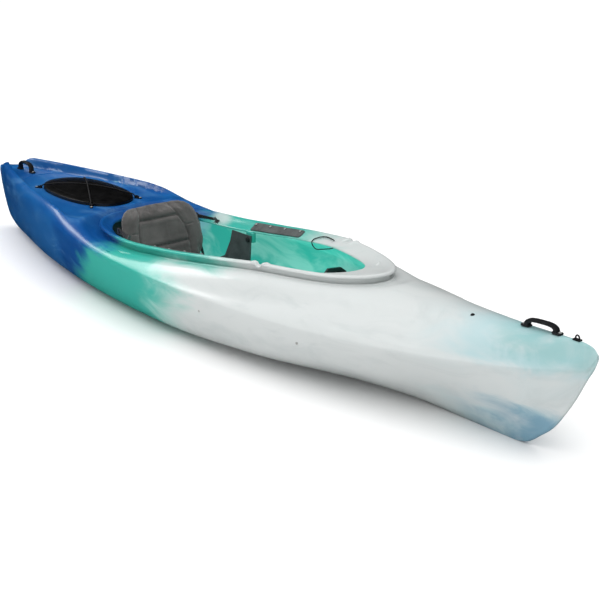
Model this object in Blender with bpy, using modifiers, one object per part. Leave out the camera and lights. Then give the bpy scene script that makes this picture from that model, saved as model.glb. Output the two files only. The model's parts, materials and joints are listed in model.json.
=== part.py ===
"""Recreational kayak with a raised cockpit coaming, a stern hatch, a framed seat and foot braces.

Metres. +X points to the bow, +Y to port, +Z up. The origin is under the middle of the hull, on the ground.
"""

import math

import bmesh
import bpy
import numpy as np
from mathutils import Matrix, Vector
from mathutils.bvhtree import BVHTree

# Fit
GAP = 0.0003
FOAM_GAP = 0.0008
PIN_CLEARANCE = 0.0003
FRAME_CLEARANCE = 0.0014
CUT_REACH = 0.001

# Hull
HULL_LENGTH = 3.66
HULL_BEAM = 0.724
HULL_DEPTH = 0.386
WALL = 0.005
STEM_HALF_WIDTH = 0.006
KEEL_HALF_WIDTH = 0.010
KEEL_ROUNDING = 0.006
BEAM_CENTRE = -0.016

# Cockpit coaming: the lip's outer edge and the opening inside it are two egg shapes
COAMING_FRONT = 0.935
COAMING_REAR = -0.695
COAMING_WIDEST = -0.15
COAMING_HALF_WIDTH = 0.277
COAMING_RISE = 0.036
LIP_OVERHANG = 0.018
LIP_THICKNESS = 0.012
OPENING_FRONT = 0.79
OPENING_REAR = -0.655
OPENING_HALF_WIDTH = 0.217
FLANGE_DROP = 0.034
SHOULDER_WIDTH = 0.030
SHOULDER_START = 0.120
SHOULDER_END = 0.105
SHOULDER_END_REAR = 0.045
PADDLE_REST = 0.518
PADDLE_REST_RADIUS = 0.015
PADDLE_REST_DEPTH = 0.010

# Stern tray and hatch
TRAY_FLOOR = 0.772 * HULL_DEPTH
TRAY_SIDE = 0.036
TRAY_WALL = 0.020
TRAY_REAR = -1.735
TRAY_FRONT = -0.700
TRAY_END = 0.050
HATCH_CENTRE = -1.018
HATCH_HALF_LENGTH = 0.279
HATCH_HALF_WIDTH = 0.141
HATCH_POWER = 2.31
HATCH_SEGMENTS = 24
HATCH_HOLE_INSET = 0.030
HATCH_RIM_WALL = 0.004
HATCH_RIM_HEIGHT = 0.008
HATCH_CUT_REACH = 0.050
GASKET_INSET = 0.010
GASKET_WIDTH = 0.014
COVER_SKIRT = 0.016
COVER_CROWN = 0.022
COVER_WALL = 0.004
COVER_SHOULDER = 0.005

# Shock cords and their cleats
CORD_DIAMETER = 0.005
CORD_DOME_POINTS = 8
KNOT_SHARE = 1.6
CLEAT_REACH = 0.205
CLEAT_LENGTH = 0.031
CLEAT_WIDTH = 0.013
CLEAT_HEIGHT = 0.012
CLEAT_BASE = 0.004
CLEAT_CLEARANCE = 0.012
CLEAT_SCREW = 0.0255
CHEEK_LENGTH = 0.0115

# Screws
SCREW_HEAD_RADIUS = 0.0052
SCREW_HEAD_HEIGHT = 0.0026
SCREW_SHANK_RADIUS = 0.0024
SCREW_CLEARANCE = 0.0004
SCREW_STEPS = 7
HOLE_SIDES = 6
HOLE_REACH = 0.003

# Seat
SEAT_REAR = -0.415
SEAT_FRONT = -0.030
SEAT_HALF_WIDTH = 0.194
SEAT_FLOOR_HALF_WIDTH = 0.125
SEAT_WALL = 0.004
PAN_BACK_LIFT = 0.020
PAN_FRONT_LIFT = 0.012
PAN_HOLE_REACH = 0.050
PAN_TURN = 0.030
WING_REAR = -0.215
WING_FRONT = -0.085
WING_HALF_WIDTH = 0.205
WING_TOP = 0.679 * HULL_DEPTH
SEAT_BOLT = -0.105
SEAT_BOLT_DROP = 0.0171
SEAT_BOLT_Z = WING_TOP - SEAT_BOLT_DROP
BOLT_HEAD_RADIUS = 0.011
BOLT_SHANK_RADIUS = 0.0035
BOLT_CLEARANCE = 0.0003
BOLT_END = 0.004
BOSS_CLEARANCE = 0.0016
BOSS_HALF_LENGTH = 0.021
BOSS_WALL = 0.016
BOSS_LAP = 0.006
CUSHION_REAR = -0.335
CUSHION_FRONT = -0.042
CUSHION_HALF_WIDTH = 0.145
CUSHION_THICKNESS = 0.034
CUSHION_CLEARANCE = 0.0008

# Backrest
HINGE_X = -0.395
HINGE_Z = 0.088
HINGE_PIN_RADIUS = 0.004
EAR_RADIUS = 0.010
EAR_WALL = 0.006
ARM_DEPTH = 0.012
ARM_RISES = (0.018, 0.058, 0.112)
EAR_CLEARANCE = 0.004
BACKREST_FOOT = 0.100
BACKREST_FOOT_X = -0.390
BACKREST_HEIGHT = 0.252
BACKREST_HALF_WIDTH = 0.198
BACKREST_LEAN = 22.0
BACKREST_WRAP = 0.045
BACKREST_PAD = 0.034
BACKREST_SHELL = 0.005
PAD_BACK = -0.022
PAD_CHANNELS = (0.28, 0.74)
FRAME_INSET = 0.012
BUCKLE_Z = 0.72 * HULL_DEPTH
BUCKLE_Y = 0.188
BUCKLE_THICKNESS = 0.005
BUCKLE_HALF = 0.012
TAB_SHARE = 0.9
ANCHOR_AT = -0.345
ANCHOR_SHARE = 0.75
ANCHOR_GAP = 0.0012
STRAP_WIDTH = 0.016
STRAP_THICKNESS = 0.0016

# Coaming fittings
PAD_REAR = -0.120
PAD_FRONT = 0.210
THIGH_PAD_GAP = 0.0006
THIGH_PAD_THICKNESS = 0.006
THIGH_SCREWS = (-0.105, -0.010, 0.088, 0.190)
KEEPER_DIAMETER = 0.004
KEEPER_HOLE = (0.430, 0.44)
KEEPER_OVER = ((0.405, 0.36), (0.380, 0.31), (0.355, 0.32), (0.332, 0.42), (0.318, 0.60), (0.312, 0.80))
KEEPER_UNDER = (
    (0.320, 0.013), (0.334, 0.022), (0.352, 0.025), (0.376, 0.023), (0.400, 0.020), (0.422, 0.0165),
)

# Foot braces
RAIL_REAR = 0.319
RAIL_FRONT = 0.801
RAIL_HEIGHT = 0.176
RAIL_END = 0.026
RAIL_DEPTH = 0.022
RAIL_THICKNESS = 0.008
RAIL_STANDOFF = 0.016
BOSS_RADIUS = 0.010
TOOTH_PITCH = 0.028
TOOTH_DEPTH = 0.005
TOOTH_MOUTH = 0.012
TOOTH_ROOT = 0.008
TOOTH_MARGIN = 0.022
PEDAL_AT = 0.400
PEDAL_THICKNESS = 0.010
CARRIAGE_LENGTH = 0.056
CARRIAGE_WALL = 0.0035
SLIDE_CLEARANCE = 0.0008
PEDAL_REACH = 0.102
PEDAL_RIB = 0.004
PEDAL_RIB_DEPTH = 0.007
PEDAL_RIBS = (-0.080, -0.055, -0.030)
LEVER_PIVOT = 0.018
LEVER_DROP = 0.0055
LEVER_CLEARANCE = 0.0005
LEVER_TAIL = 0.048
WINDOW_REAR = -0.009
WINDOW_FRONT = 0.007
PAWL_HALF = 0.003
CHEEK_WALL = 0.003
CHEEK_HALF = 0.008
LEVER_HALF_WIDTH = 0.0045
LEVER_PIN_RADIUS = 0.0028

# Foam inside the hull
BULKHEAD_REAR = -0.755
BULKHEAD_FRONT = -0.705
FOAM_BLANK_LOW = -0.1
FOAM_BLANK_HIGH = 1.3 * HULL_DEPTH
PILLAR_REAR = 1.00
PILLAR_FRONT = 1.34
PILLAR_HALF_WIDTH = 0.040

# Deck fittings
HANDLE_TUBE_RADIUS = 0.0065
BOW_HANDLE_REAR = 1.556
BOW_HANDLE_FRONT = 1.677
STERN_HANDLE_REAR = -1.640
STERN_HANDLE_FRONT = -1.525
HANDLE_RISE = 0.032
STERN_HANDLE_RISE = 0.048
HANDLE_GRIP = 1.35
HANDLE_LANDING = 0.006
HANDLE_FOOT = 0.006
HANDLE_FOOT_LENGTH = 0.034
HANDLE_FOOT_WIDTH = 0.024
HANDLE_SCREW = 0.010
EYELET_AT = 1.752
EYELET_RADIUS = 0.008
EYELET_RISE = 0.013
EYELET_TUBE = 0.0025
EYELET_FOOT = 0.013
EYELET_FOOT_WIDTH = 0.014
EYELET_FOOT_HEIGHT = 0.004
DECK_FITTING_AT = 1.362
DECK_FITTING_ACROSS = -0.030
DECK_FITTING_RADIUS = 0.007
DRAIN_AT = -1.62
DRAIN_Z = 0.225
DRAIN_RADIUS = 0.014

HALF_LENGTH = HULL_LENGTH / 2
HALF_BEAM = HULL_BEAM / 2


def smooth_line(*stations):
    """A smooth line through (position, value) stations that never overshoots them."""
    xs = np.array([place for place, value in stations])
    ys = np.array([value for place, value in stations])
    slopes = np.diff(ys) / np.diff(xs)
    tangents = np.zeros(len(xs))
    tangents[0], tangents[-1] = slopes[0], slopes[-1]
    for i in range(1, len(xs) - 1):
        before, after = slopes[i - 1], slopes[i]
        if before * after > 0:
            tangents[i] = 2 * before * after / (before + after)

    def value(x):
        x = np.clip(x, xs[0], xs[-1])
        i = np.clip(np.searchsorted(xs, x) - 1, 0, len(xs) - 2)
        step = xs[i + 1] - xs[i]
        t = (x - xs[i]) / step
        return (
            (2 * t**3 - 3 * t**2 + 1) * ys[i]
            + (t**3 - 2 * t**2 + t) * step * tangents[i]
            + (3 * t**2 - 2 * t**3) * ys[i + 1]
            + (t**3 - t**2) * step * tangents[i + 1]
        )

    return value


def smoothstep(start, end, value):
    t = np.clip((value - start) / (end - start), 0, 1)
    return t * t * (3 - 2 * t)


# Lines plan. Positions are shares of the half length, stern to bow, and heights are shares of the depth.
KEEL_LINE = smooth_line(
    (-1, 0.69), (-0.991, 0.50), (-0.982, 0.29), (-0.961, 0.215), (-0.932, 0.08), (-0.902, 0),
    (0.839, 0), (0.866, 0.020), (0.891, 0.104), (0.916, 0.205), (0.939, 0.352), (0.962, 0.528),
    (0.983, 0.723), (0.994, 0.81), (1, 0.88),
)
KNUCKLE_LINE = smooth_line(
    (-1, 0.715), (-0.82, 0.70), (-0.546, 0.668), (-0.328, 0.628), (0, 0.596),
    (0.328, 0.588), (0.546, 0.609), (0.765, 0.666), (0.93, 0.745), (0.983, 0.80), (1, 0.905),
)
TOP_LINE = smooth_line(
    (-1, 0.745), (-0.94, 0.777), (-0.896, 0.883), (-0.71, 0.873), (-0.454, 0.858), (-0.328, 0.785),
    (-0.164, 0.777), (0, 0.821), (0.164, 0.907), (0.328, 0.969), (0.52, 0.977), (0.63, 0.964),
    (0.683, 0.953), (0.82, 0.969), (0.967, 1), (0.989, 0.984), (1, 0.938),
)
LIP_LINE = smooth_line(
    (-0.38, 0.751), (-0.164, 0.764), (0, 0.829), (0.164, 0.920), (0.30, 0.982), (0.437, 0.998),
    (0.51, 1.020),
)
# How boxy the deck is across, and how quickly it rises from its edge
CROWN_POWER = smooth_line((-0.50, 12), (-0.38, 6), (-0.164, 2.8), (0, 2.4), (0.33, 2.0), (1, 2.0))
CROWN_RISE = smooth_line((-0.50, 0.42), (-0.164, 0.75), (0.33, 0.77), (1, 0.77))
# Bottom section points as shares of the half beam and of the height from keel to knuckle
SECTION_STATIONS = (-1, -0.82, -0.55, -0.27, 0, 0.27, 0.55, 0.74, 0.87, 1)
SECTION_SHARES = {
    "flank": ((0.40, 0.36, 0.45, 0.53, 0.55, 0.53, 0.36, 0.24, 0.25, 0.40),
              (0.20, 0.05, 0.03, 0.03, 0.04, 0.09, 0.15, 0.16, 0.20, 0.30)),
    "bilge": ((0.70, 0.70, 0.78, 0.82, 0.83, 0.82, 0.72, 0.52, 0.50, 0.60),
              (0.45, 0.22, 0.17, 0.165, 0.17, 0.26, 0.43, 0.47, 0.46, 0.50)),
    "side": ((0.88, 0.88, 0.925, 0.95, 0.955, 0.955, 0.91, 0.79, 0.77, 0.80),
             (0.72, 0.55, 0.50, 0.50, 0.52, 0.60, 0.73, 0.76, 0.74, 0.75)),
}
SECTION_LINES = {
    name: tuple(smooth_line(*zip(SECTION_STATIONS, shares)) for shares in pair)
    for name, pair in SECTION_SHARES.items()
}
# The edge of the sunk side panel on the foredeck, as a share of the half beam
PANEL_EDGE = smooth_line((0.49, 0.68), (0.60, 0.55), (0.665, 0.48), (0.73, 0.55))
PANEL_REAR, PANEL_TIP, PANEL_DEPTH = 0.915, 1.335, 0.006


def keel_height(x):
    return KEEL_LINE(x / HALF_LENGTH) * HULL_DEPTH


def knuckle_height(x):
    return KNUCKLE_LINE(x / HALF_LENGTH) * HULL_DEPTH


def top_height(x):
    return TOP_LINE(x / HALF_LENGTH) * HULL_DEPTH


def lip_height(x):
    return LIP_LINE(x / HALF_LENGTH) * HULL_DEPTH


def half_beam(x):
    """Half the beam at the knuckle, the widest line of the hull."""
    x = np.asarray(x, float)
    ahead = x > BEAM_CENTRE
    reach = np.where(ahead, HALF_LENGTH - BEAM_CENTRE, HALF_LENGTH + BEAM_CENTRE)
    share = np.clip(np.abs(x - BEAM_CENTRE) / reach, 0, 1)
    fullness = np.where(ahead, 0.955, 0.85)
    return STEM_HALF_WIDTH + (HALF_BEAM - STEM_HALF_WIDTH) * (1 - share**2.03) ** fullness


def egg(angle, front, rear, half_width):
    """A point on an egg-shaped outline round the cockpit. Angle 0 is at the bow, pi at the stern."""
    c, s = math.cos(angle), math.sin(angle)
    power, reach = (2.1, front - COAMING_WIDEST) if c >= 0 else (2.6, COAMING_WIDEST - rear)
    x = COAMING_WIDEST + math.copysign(reach * abs(c) ** (2 / power), c)
    y = half_width * abs(s) ** (2 / power)
    return Vector((x, 0.0 if abs(s) < 1e-9 else y))


def lip_point(angle):
    return egg(angle, COAMING_FRONT, COAMING_REAR, COAMING_HALF_WIDTH)


def lip_normal(angle):
    """Outward normal of the lip's edge in plan, at an angle from 0 to pi."""
    if angle < 1e-6:
        return Vector((1, 0))
    if angle > math.pi - 1e-6:
        return Vector((-1, 0))
    along = lip_point(min(angle + 0.01, math.pi)) - lip_point(max(angle - 0.01, 0))
    return Vector((along.y, -along.x)).normalized()


def coaming_point(angle, outward, up):
    """A point beside the lip's outer edge, given by its distance outward and its height over the lip."""
    place = lip_point(angle)
    spot = place + lip_normal(angle) * outward
    return Vector((spot.x, max(spot.y, 0.0), float(lip_height(place.x)) + up))


def opening_point(angle, down):
    place = egg(angle, OPENING_FRONT, OPENING_REAR, OPENING_HALF_WIDTH)
    lip = float(lip_height(lip_point(angle).x))
    return Vector((place.x, place.y, lip - down))


FOOT_ANGLES = np.linspace(0, math.pi, 181)
FOOT_POINTS = np.array([coaming_point(a, -LIP_OVERHANG, -COAMING_RISE) for a in FOOT_ANGLES])


def deck_height(x, y):
    """Height of the deck at points in plan, outside the coaming."""
    x = np.asarray(x, float)
    y = np.abs(np.asarray(y, float))
    s = x / HALF_LENGTH
    beam = half_beam(x)
    share = np.clip(y / beam, 0, 1)
    low, top = knuckle_height(x), top_height(x)
    height = low + (top - low) * (1 - share ** CROWN_POWER(s)) ** CROWN_RISE(s)
    # The stern tray has a flat floor between raised sides
    tray = smoothstep(0, TRAY_WALL, beam - TRAY_SIDE - y)
    tray = tray * smoothstep(TRAY_REAR, TRAY_REAR + TRAY_END, x)
    tray = tray * (1 - smoothstep(TRAY_FRONT, TRAY_FRONT + TRAY_END, x))
    height = height + (np.minimum(TRAY_FLOOR, height) - height) * tray
    # The foredeck's side panel is sunk a little below the crown
    panel = smoothstep(0, 0.03, share - PANEL_EDGE(s)) * (1 - smoothstep(0.90, 0.96, share))
    panel = panel * smoothstep(PANEL_REAR, PANEL_REAR + 0.03, x)
    panel = panel * (1 - smoothstep(PANEL_TIP - 0.1, PANEL_TIP, x))
    height = height - PANEL_DEPTH * panel
    # Beside the coaming the deck meets the foot of its wall, with a flat shoulder round it
    gap = np.hypot(x[..., None] - FOOT_POINTS[:, 0], y[..., None] - FOOT_POINTS[:, 1])
    nearest = gap.argmin(-1)
    distance = gap.min(-1)
    foot = FOOT_POINTS[nearest]
    rear = smoothstep(COAMING_REAR, COAMING_REAR + SHOULDER_START, foot[..., 0])
    start = SHOULDER_WIDTH * (0.25 + 0.75 * rear)
    end = SHOULDER_END_REAR + (SHOULDER_END - SHOULDER_END_REAR) * rear
    near = 1 - smoothstep(start, end, distance)
    return height + (foot[..., 2] - height) * near


def bottom_section(x):
    """Points of the section from the keel to the knuckle, at port."""
    beam, keel, knuckle = float(half_beam(x)), float(keel_height(x)), float(knuckle_height(x))
    slope = abs(float(keel_height(x + 0.01) - keel_height(x - 0.01))) / 0.02
    edge = min(KEEL_HALF_WIDTH, beam * 0.5)
    control = [Vector((edge, keel + min(KEEL_ROUNDING * slope, 0.25 * (knuckle - keel))))]
    for name in ("flank", "bilge", "side"):
        across, up = (float(line(x / HALF_LENGTH)) for line in SECTION_LINES[name])
        control.append(Vector((max(across * beam, edge * 1.05), keel + up * (knuckle - keel))))
    control.append(Vector((beam, knuckle)))
    points = [Vector((0.0, keel)), control[0]]
    for i in range(4):
        if i in (1, 2):
            middle = (control[i] + control[i + 1]) * 0.5625 - (control[i - 1] + control[i + 2]) * 0.0625
            points.append(middle)
        points.append(control[i + 1])
    return points


COCKPIT_COLUMNS = 21
STERN_STATIONS = (
    -1, -0.991, -0.981, -0.955, -0.925, -0.896, -0.84, -0.76, -0.67, -0.58, -0.49, -0.44, -0.402,
)
BOW_STATIONS = (0.52, 0.565, 0.62, 0.69, 0.76, 0.82, 0.865, 0.90, 0.93, 0.957, 0.979, 0.992, 1)
FAN_SHEAR_REAR = -0.27
FAN_SHEAR_FRONT = 0.26
BOTTOM_ROWS = 8
DECK_ROWS = 8
STERN_STEPS = (0.004, 0.012, 0.034, 0.056)
COCKPIT_SHARES = (0.05, 0.14, 0.28, 0.46, 0.64, 0.82, 1.0)
BOW_SHARES = (0.03, 0.10, 0.20, 0.33, 0.48, 0.65, 0.83)


def deck_shares(length, stern, bow):
    """Where the deck's rows lie, as shares of the way from the knuckle to the inner edge."""
    scale = min(1.0, length / 0.17)
    steps = [step * scale for step in STERN_STEPS]
    steps += [steps[-1] + (length - steps[-1]) * k / 4 for k in (1, 2, 3)]
    tray = [step / length for step in steps]
    ring = 1 - min(SHOULDER_WIDTH / length, 0.3)
    side = [share * ring for share in COCKPIT_SHARES]
    mixed = []
    for a, b, c in zip(tray, side, BOW_SHARES):
        mixed.append(a * stern + c * bow + b * (1 - stern - bow))
    return mixed


def hull_columns():
    """Where each column of the port half starts and ends, its coaming angle, and its stern and bow shares."""
    columns = []
    for station in STERN_STATIONS:
        x = station * HALF_LENGTH
        shear = FAN_SHEAR_REAR * float(smoothstep(-0.75, -0.38, station))
        stern = float(1 - smoothstep(-0.50, -0.44, station))
        columns.append((x + shear, Vector((x, 0.0)), None, stern, 0.0))
    for i in range(COCKPIT_COLUMNS):
        angle = math.pi * (1 - i / (COCKPIT_COLUMNS - 1))
        foot = coaming_point(angle, -LIP_OVERHANG, -COAMING_RISE)
        shear = FAN_SHEAR_REAR + (FAN_SHEAR_FRONT - FAN_SHEAR_REAR) * i / (COCKPIT_COLUMNS - 1)
        columns.append((foot.x + shear * abs(math.cos(angle)), Vector((foot.x, foot.y)), angle, 0.0, 0.0))
    for station in BOW_STATIONS:
        x = station * HALF_LENGTH
        shear = FAN_SHEAR_FRONT * float(1 - smoothstep(0.50, 0.86, station))
        columns.append((x + shear, Vector((x, 0.0)), None, 0.0, float(smoothstep(0.50, 0.57, station))))
    return columns


def hull_surface():
    """The port half's outer surface as a grid of points, and the coaming's rows where there is one."""
    grid, coaming = [], {}
    for number, (outer_x, inner, angle, stern, bow) in enumerate(hull_columns()):
        column = [Vector((outer_x, p.x, p.y)) for p in bottom_section(outer_x)]
        edge = Vector((outer_x, float(half_beam(outer_x))))
        shares = deck_shares((inner - edge).length, stern, bow) + [1.0]
        places = [edge.lerp(inner, share) for share in shares]
        heights = deck_height(np.array([p.x for p in places]), np.array([p.y for p in places]))
        column += [Vector((p.x, p.y, float(h))) for p, h in zip(places, heights)]
        grid.append(column)
        if angle is not None:
            coaming[number] = coaming_rows(angle)
            column[-1] = coaming_point(angle, -LIP_OVERHANG, -COAMING_RISE)
    return grid, coaming


def coaming_rows(angle):
    """The coaming's section from the foot of its wall over the lip to the opening, and back under."""
    drop = FLANGE_DROP * (1 - 0.35 * math.cos(angle) ** 4)
    top = coaming_point(angle, -0.014, -0.001)
    inner_edge = opening_point(angle, drop)
    middle = top.lerp(inner_edge, 0.5) - Vector((0, 0, 0.003))
    return [
        coaming_point(angle, -LIP_OVERHANG + 0.003, -LIP_THICKNESS - 0.003),
        coaming_point(angle, -0.003, -LIP_THICKNESS),
        coaming_point(angle, 0, -0.0045),
        coaming_point(angle, -0.004, 0),
        top,
        middle,
        inner_edge,
        inner_edge - Vector((0, 0, WALL + 0.001)),
        middle - Vector((0, 0, WALL + 0.001)),
        coaming_point(angle, -LIP_OVERHANG - WALL - 0.001, -COAMING_RISE + 0.010),
        coaming_point(angle, -LIP_OVERHANG - WALL - 0.001, -COAMING_RISE - WALL),
    ]


INNER_ROWS = (0, 1, 2, 4, 6, 7, 9, 11, 12, 14)


def inset_surface(grid, coaming, depth):
    """The grid moved inward by a depth, at the rows that the inside has."""
    count = len(grid)
    inside = []
    for i in range(count):
        before, after = grid[max(i - 1, 0)], grid[min(i + 1, count - 1)]
        column = []
        for row in INNER_ROWS:
            low, high = max(row - 1, 0), min(row + 1, len(grid[i]) - 1)
            normal = (after[row] - before[row]).cross(grid[i][high] - grid[i][low]) * -1
            if row in (0,) or (row == INNER_ROWS[-1] and i not in coaming):
                normal.y = 0
            point = grid[i][row] - normal.normalized() * depth
            if grid[i][row].y > 0:
                point.y = max(point.y, 0.002)
            column.append(point)
        if i in coaming:
            column.append(coaming[i][-1].copy())
        else:
            last = grid[i][-1]
            slope = (after[-1].z - before[-1].z) / (after[-1].x - before[-1].x)
            column.append(Vector((last.x, 0, last.z - depth * math.hypot(1, slope))))
        inside.append(column)
    return inside


INSIDE_FROM, INSIDE_TO = 4, -5


def new_object(name, bm, material, collection):
    mesh = bpy.data.meshes.new(name)
    bm.to_mesh(mesh)
    bm.free()
    obj = bpy.data.objects.new(name, mesh)
    collection.objects.link(obj)
    if material:
        mesh.materials.append(material)
    return obj


def hull_half(grid, coaming):
    """The port half of the hull: outer skin, coaming, inner skin and the solid ends of the two stems."""
    inside = inset_surface(grid, coaming, WALL)
    bm = bmesh.new()
    outer = [[bm.verts.new(p) for p in column] for column in grid]
    lip = {i: [bm.verts.new(p) for p in rows] for i, rows in coaming.items()}
    first, last = INSIDE_FROM, len(grid) + INSIDE_TO
    inner = {}
    for i in range(first, last + 1):
        inner[i] = [bm.verts.new(p) for p in inside[i][:-1]]
        inner[i].append(lip[i][-1] if i in lip else bm.verts.new(inside[i][-1]))
    strips = [[outer[i] for i in range(len(grid))]]
    strips.append([[outer[i][-1]] + lip[i] for i in sorted(lip)])
    for i in range(first, last):
        for row in range(len(inner[i]) - 1):
            a, b, c, d = inner[i][row + 1], inner[i][row], inner[i + 1][row], inner[i + 1][row + 1]
            bm.faces.new((a, b, c))
            bm.faces.new((a, c, d))
    for strip in strips:
        for before, after in zip(strip, strip[1:]):
            for row in range(len(before) - 1):
                a, b, c, d = before[row], before[row + 1], after[row + 1], after[row]
                bm.faces.new((a, b, d))
                bm.faces.new((b, c, d))
    bm.faces.new(outer[0][::-1])
    bm.faces.new(outer[-1])
    bm.faces.new(inner[first])
    bm.faces.new(inner[last][::-1])
    return bm


def cavity_half(grid, coaming):
    """The port half of the space inside the hull, closed over the cockpit."""
    inside = inset_surface(grid, coaming, WALL)
    bm = bmesh.new()
    first, last = INSIDE_FROM, len(grid) + INSIDE_TO
    skin = {i: [bm.verts.new(p) for p in inside[i]] for i in range(first, last + 1)}
    for i in range(first, last):
        for row in range(len(skin[i]) - 1):
            a, b, c, d = skin[i][row + 1], skin[i][row], skin[i + 1][row], skin[i + 1][row + 1]
            bm.faces.new((c, b, a))
            bm.faces.new((d, c, a))
    bm.faces.new(skin[first][::-1])
    bm.faces.new(skin[last])
    bm.faces.new([skin[i][-1] for i in sorted(coaming)][::-1])
    return bm


def shrunk(obj, clearance):
    """Moves every face of a closed mesh inward by a clearance."""
    bm = bmesh.new()
    bm.from_mesh(obj.data)
    bm.normal_update()
    places = [v.co - v.normal * clearance * v.calc_shell_factor() for v in bm.verts]
    for vert, place in zip(bm.verts, places):
        vert.co = place
    bm.to_mesh(obj.data)
    bm.free()
    return obj


def mirrored(obj):
    """Adds the other half across the middle plane."""
    mirror = obj.modifiers.new("Mirror", "MIRROR")
    mirror.use_axis = (False, True, False)
    mirror.merge_threshold = 0.00001
    return obj


def boolean(obj, other, operation="DIFFERENCE"):
    modifier = obj.modifiers.new(operation.title(), "BOOLEAN")
    modifier.operation = operation
    modifier.solver = "EXACT"
    modifier.object = other


def applied(obj):
    """The object with its modifiers applied, so that its cutters can be shared or removed."""
    graph = bpy.context.evaluated_depsgraph_get()
    mesh = bpy.data.meshes.new_from_object(obj.evaluated_get(graph))
    obj.modifiers.clear()
    obj.data = mesh
    return obj


def box_mesh(low, high):
    bm = bmesh.new()
    centre = (Vector(low) + Vector(high)) / 2
    size = Vector(high) - Vector(low)
    bmesh.ops.create_cube(bm, size=1, matrix=Matrix.Translation(centre) @ Matrix.Diagonal((*size, 1)))
    return bm


def rod_mesh(start, end, radius, sides=16):
    start, end = Vector(start), Vector(end)
    along = end - start
    turn = along.to_track_quat("Z", "Y").to_matrix().to_4x4()
    bm = bmesh.new()
    bmesh.ops.create_cone(
        bm, cap_ends=True, segments=sides, radius1=radius, radius2=radius,
        depth=along.length, matrix=Matrix.Translation((start + end) / 2) @ turn,
    )
    return bm


def ring_solid(rings, closed=False):
    """A solid through rings with the same number of points. Closed joins the last ring to the first."""
    bm = bmesh.new()
    verts = [[bm.verts.new(p) for p in ring] for ring in rings]
    pairs = list(zip(verts, verts[1:]))
    if closed:
        pairs.append((verts[-1], verts[0]))
    for before, after in pairs:
        for k in range(len(before)):
            j = (k + 1) % len(before)
            bm.faces.new((before[k], before[j], after[j], after[k]))
    if not closed:
        bm.faces.new(verts[0][::-1])
        bm.faces.new(verts[-1])
    bmesh.ops.recalc_face_normals(bm, faces=bm.faces)
    return bm


def outline_mesh(points, low, high):
    """A flat outline in x and z with a thickness along y, from low to high."""
    bm = bmesh.new()
    near = [bm.verts.new((x, low, z)) for x, z in points]
    far = [bm.verts.new((x, high, z)) for x, z in points]
    bm.faces.new(near)
    bm.faces.new(far[::-1])
    for k in range(len(points)):
        j = (k + 1) % len(points)
        bm.faces.new((near[k], far[k], far[j], near[j]))
    bmesh.ops.recalc_face_normals(bm, faces=bm.faces)
    return bm


def smooth_shaded(obj, angle=35):
    obj.data.shade_smooth()
    obj.data.set_sharp_from_angle(angle=math.radians(angle))
    return obj


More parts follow.
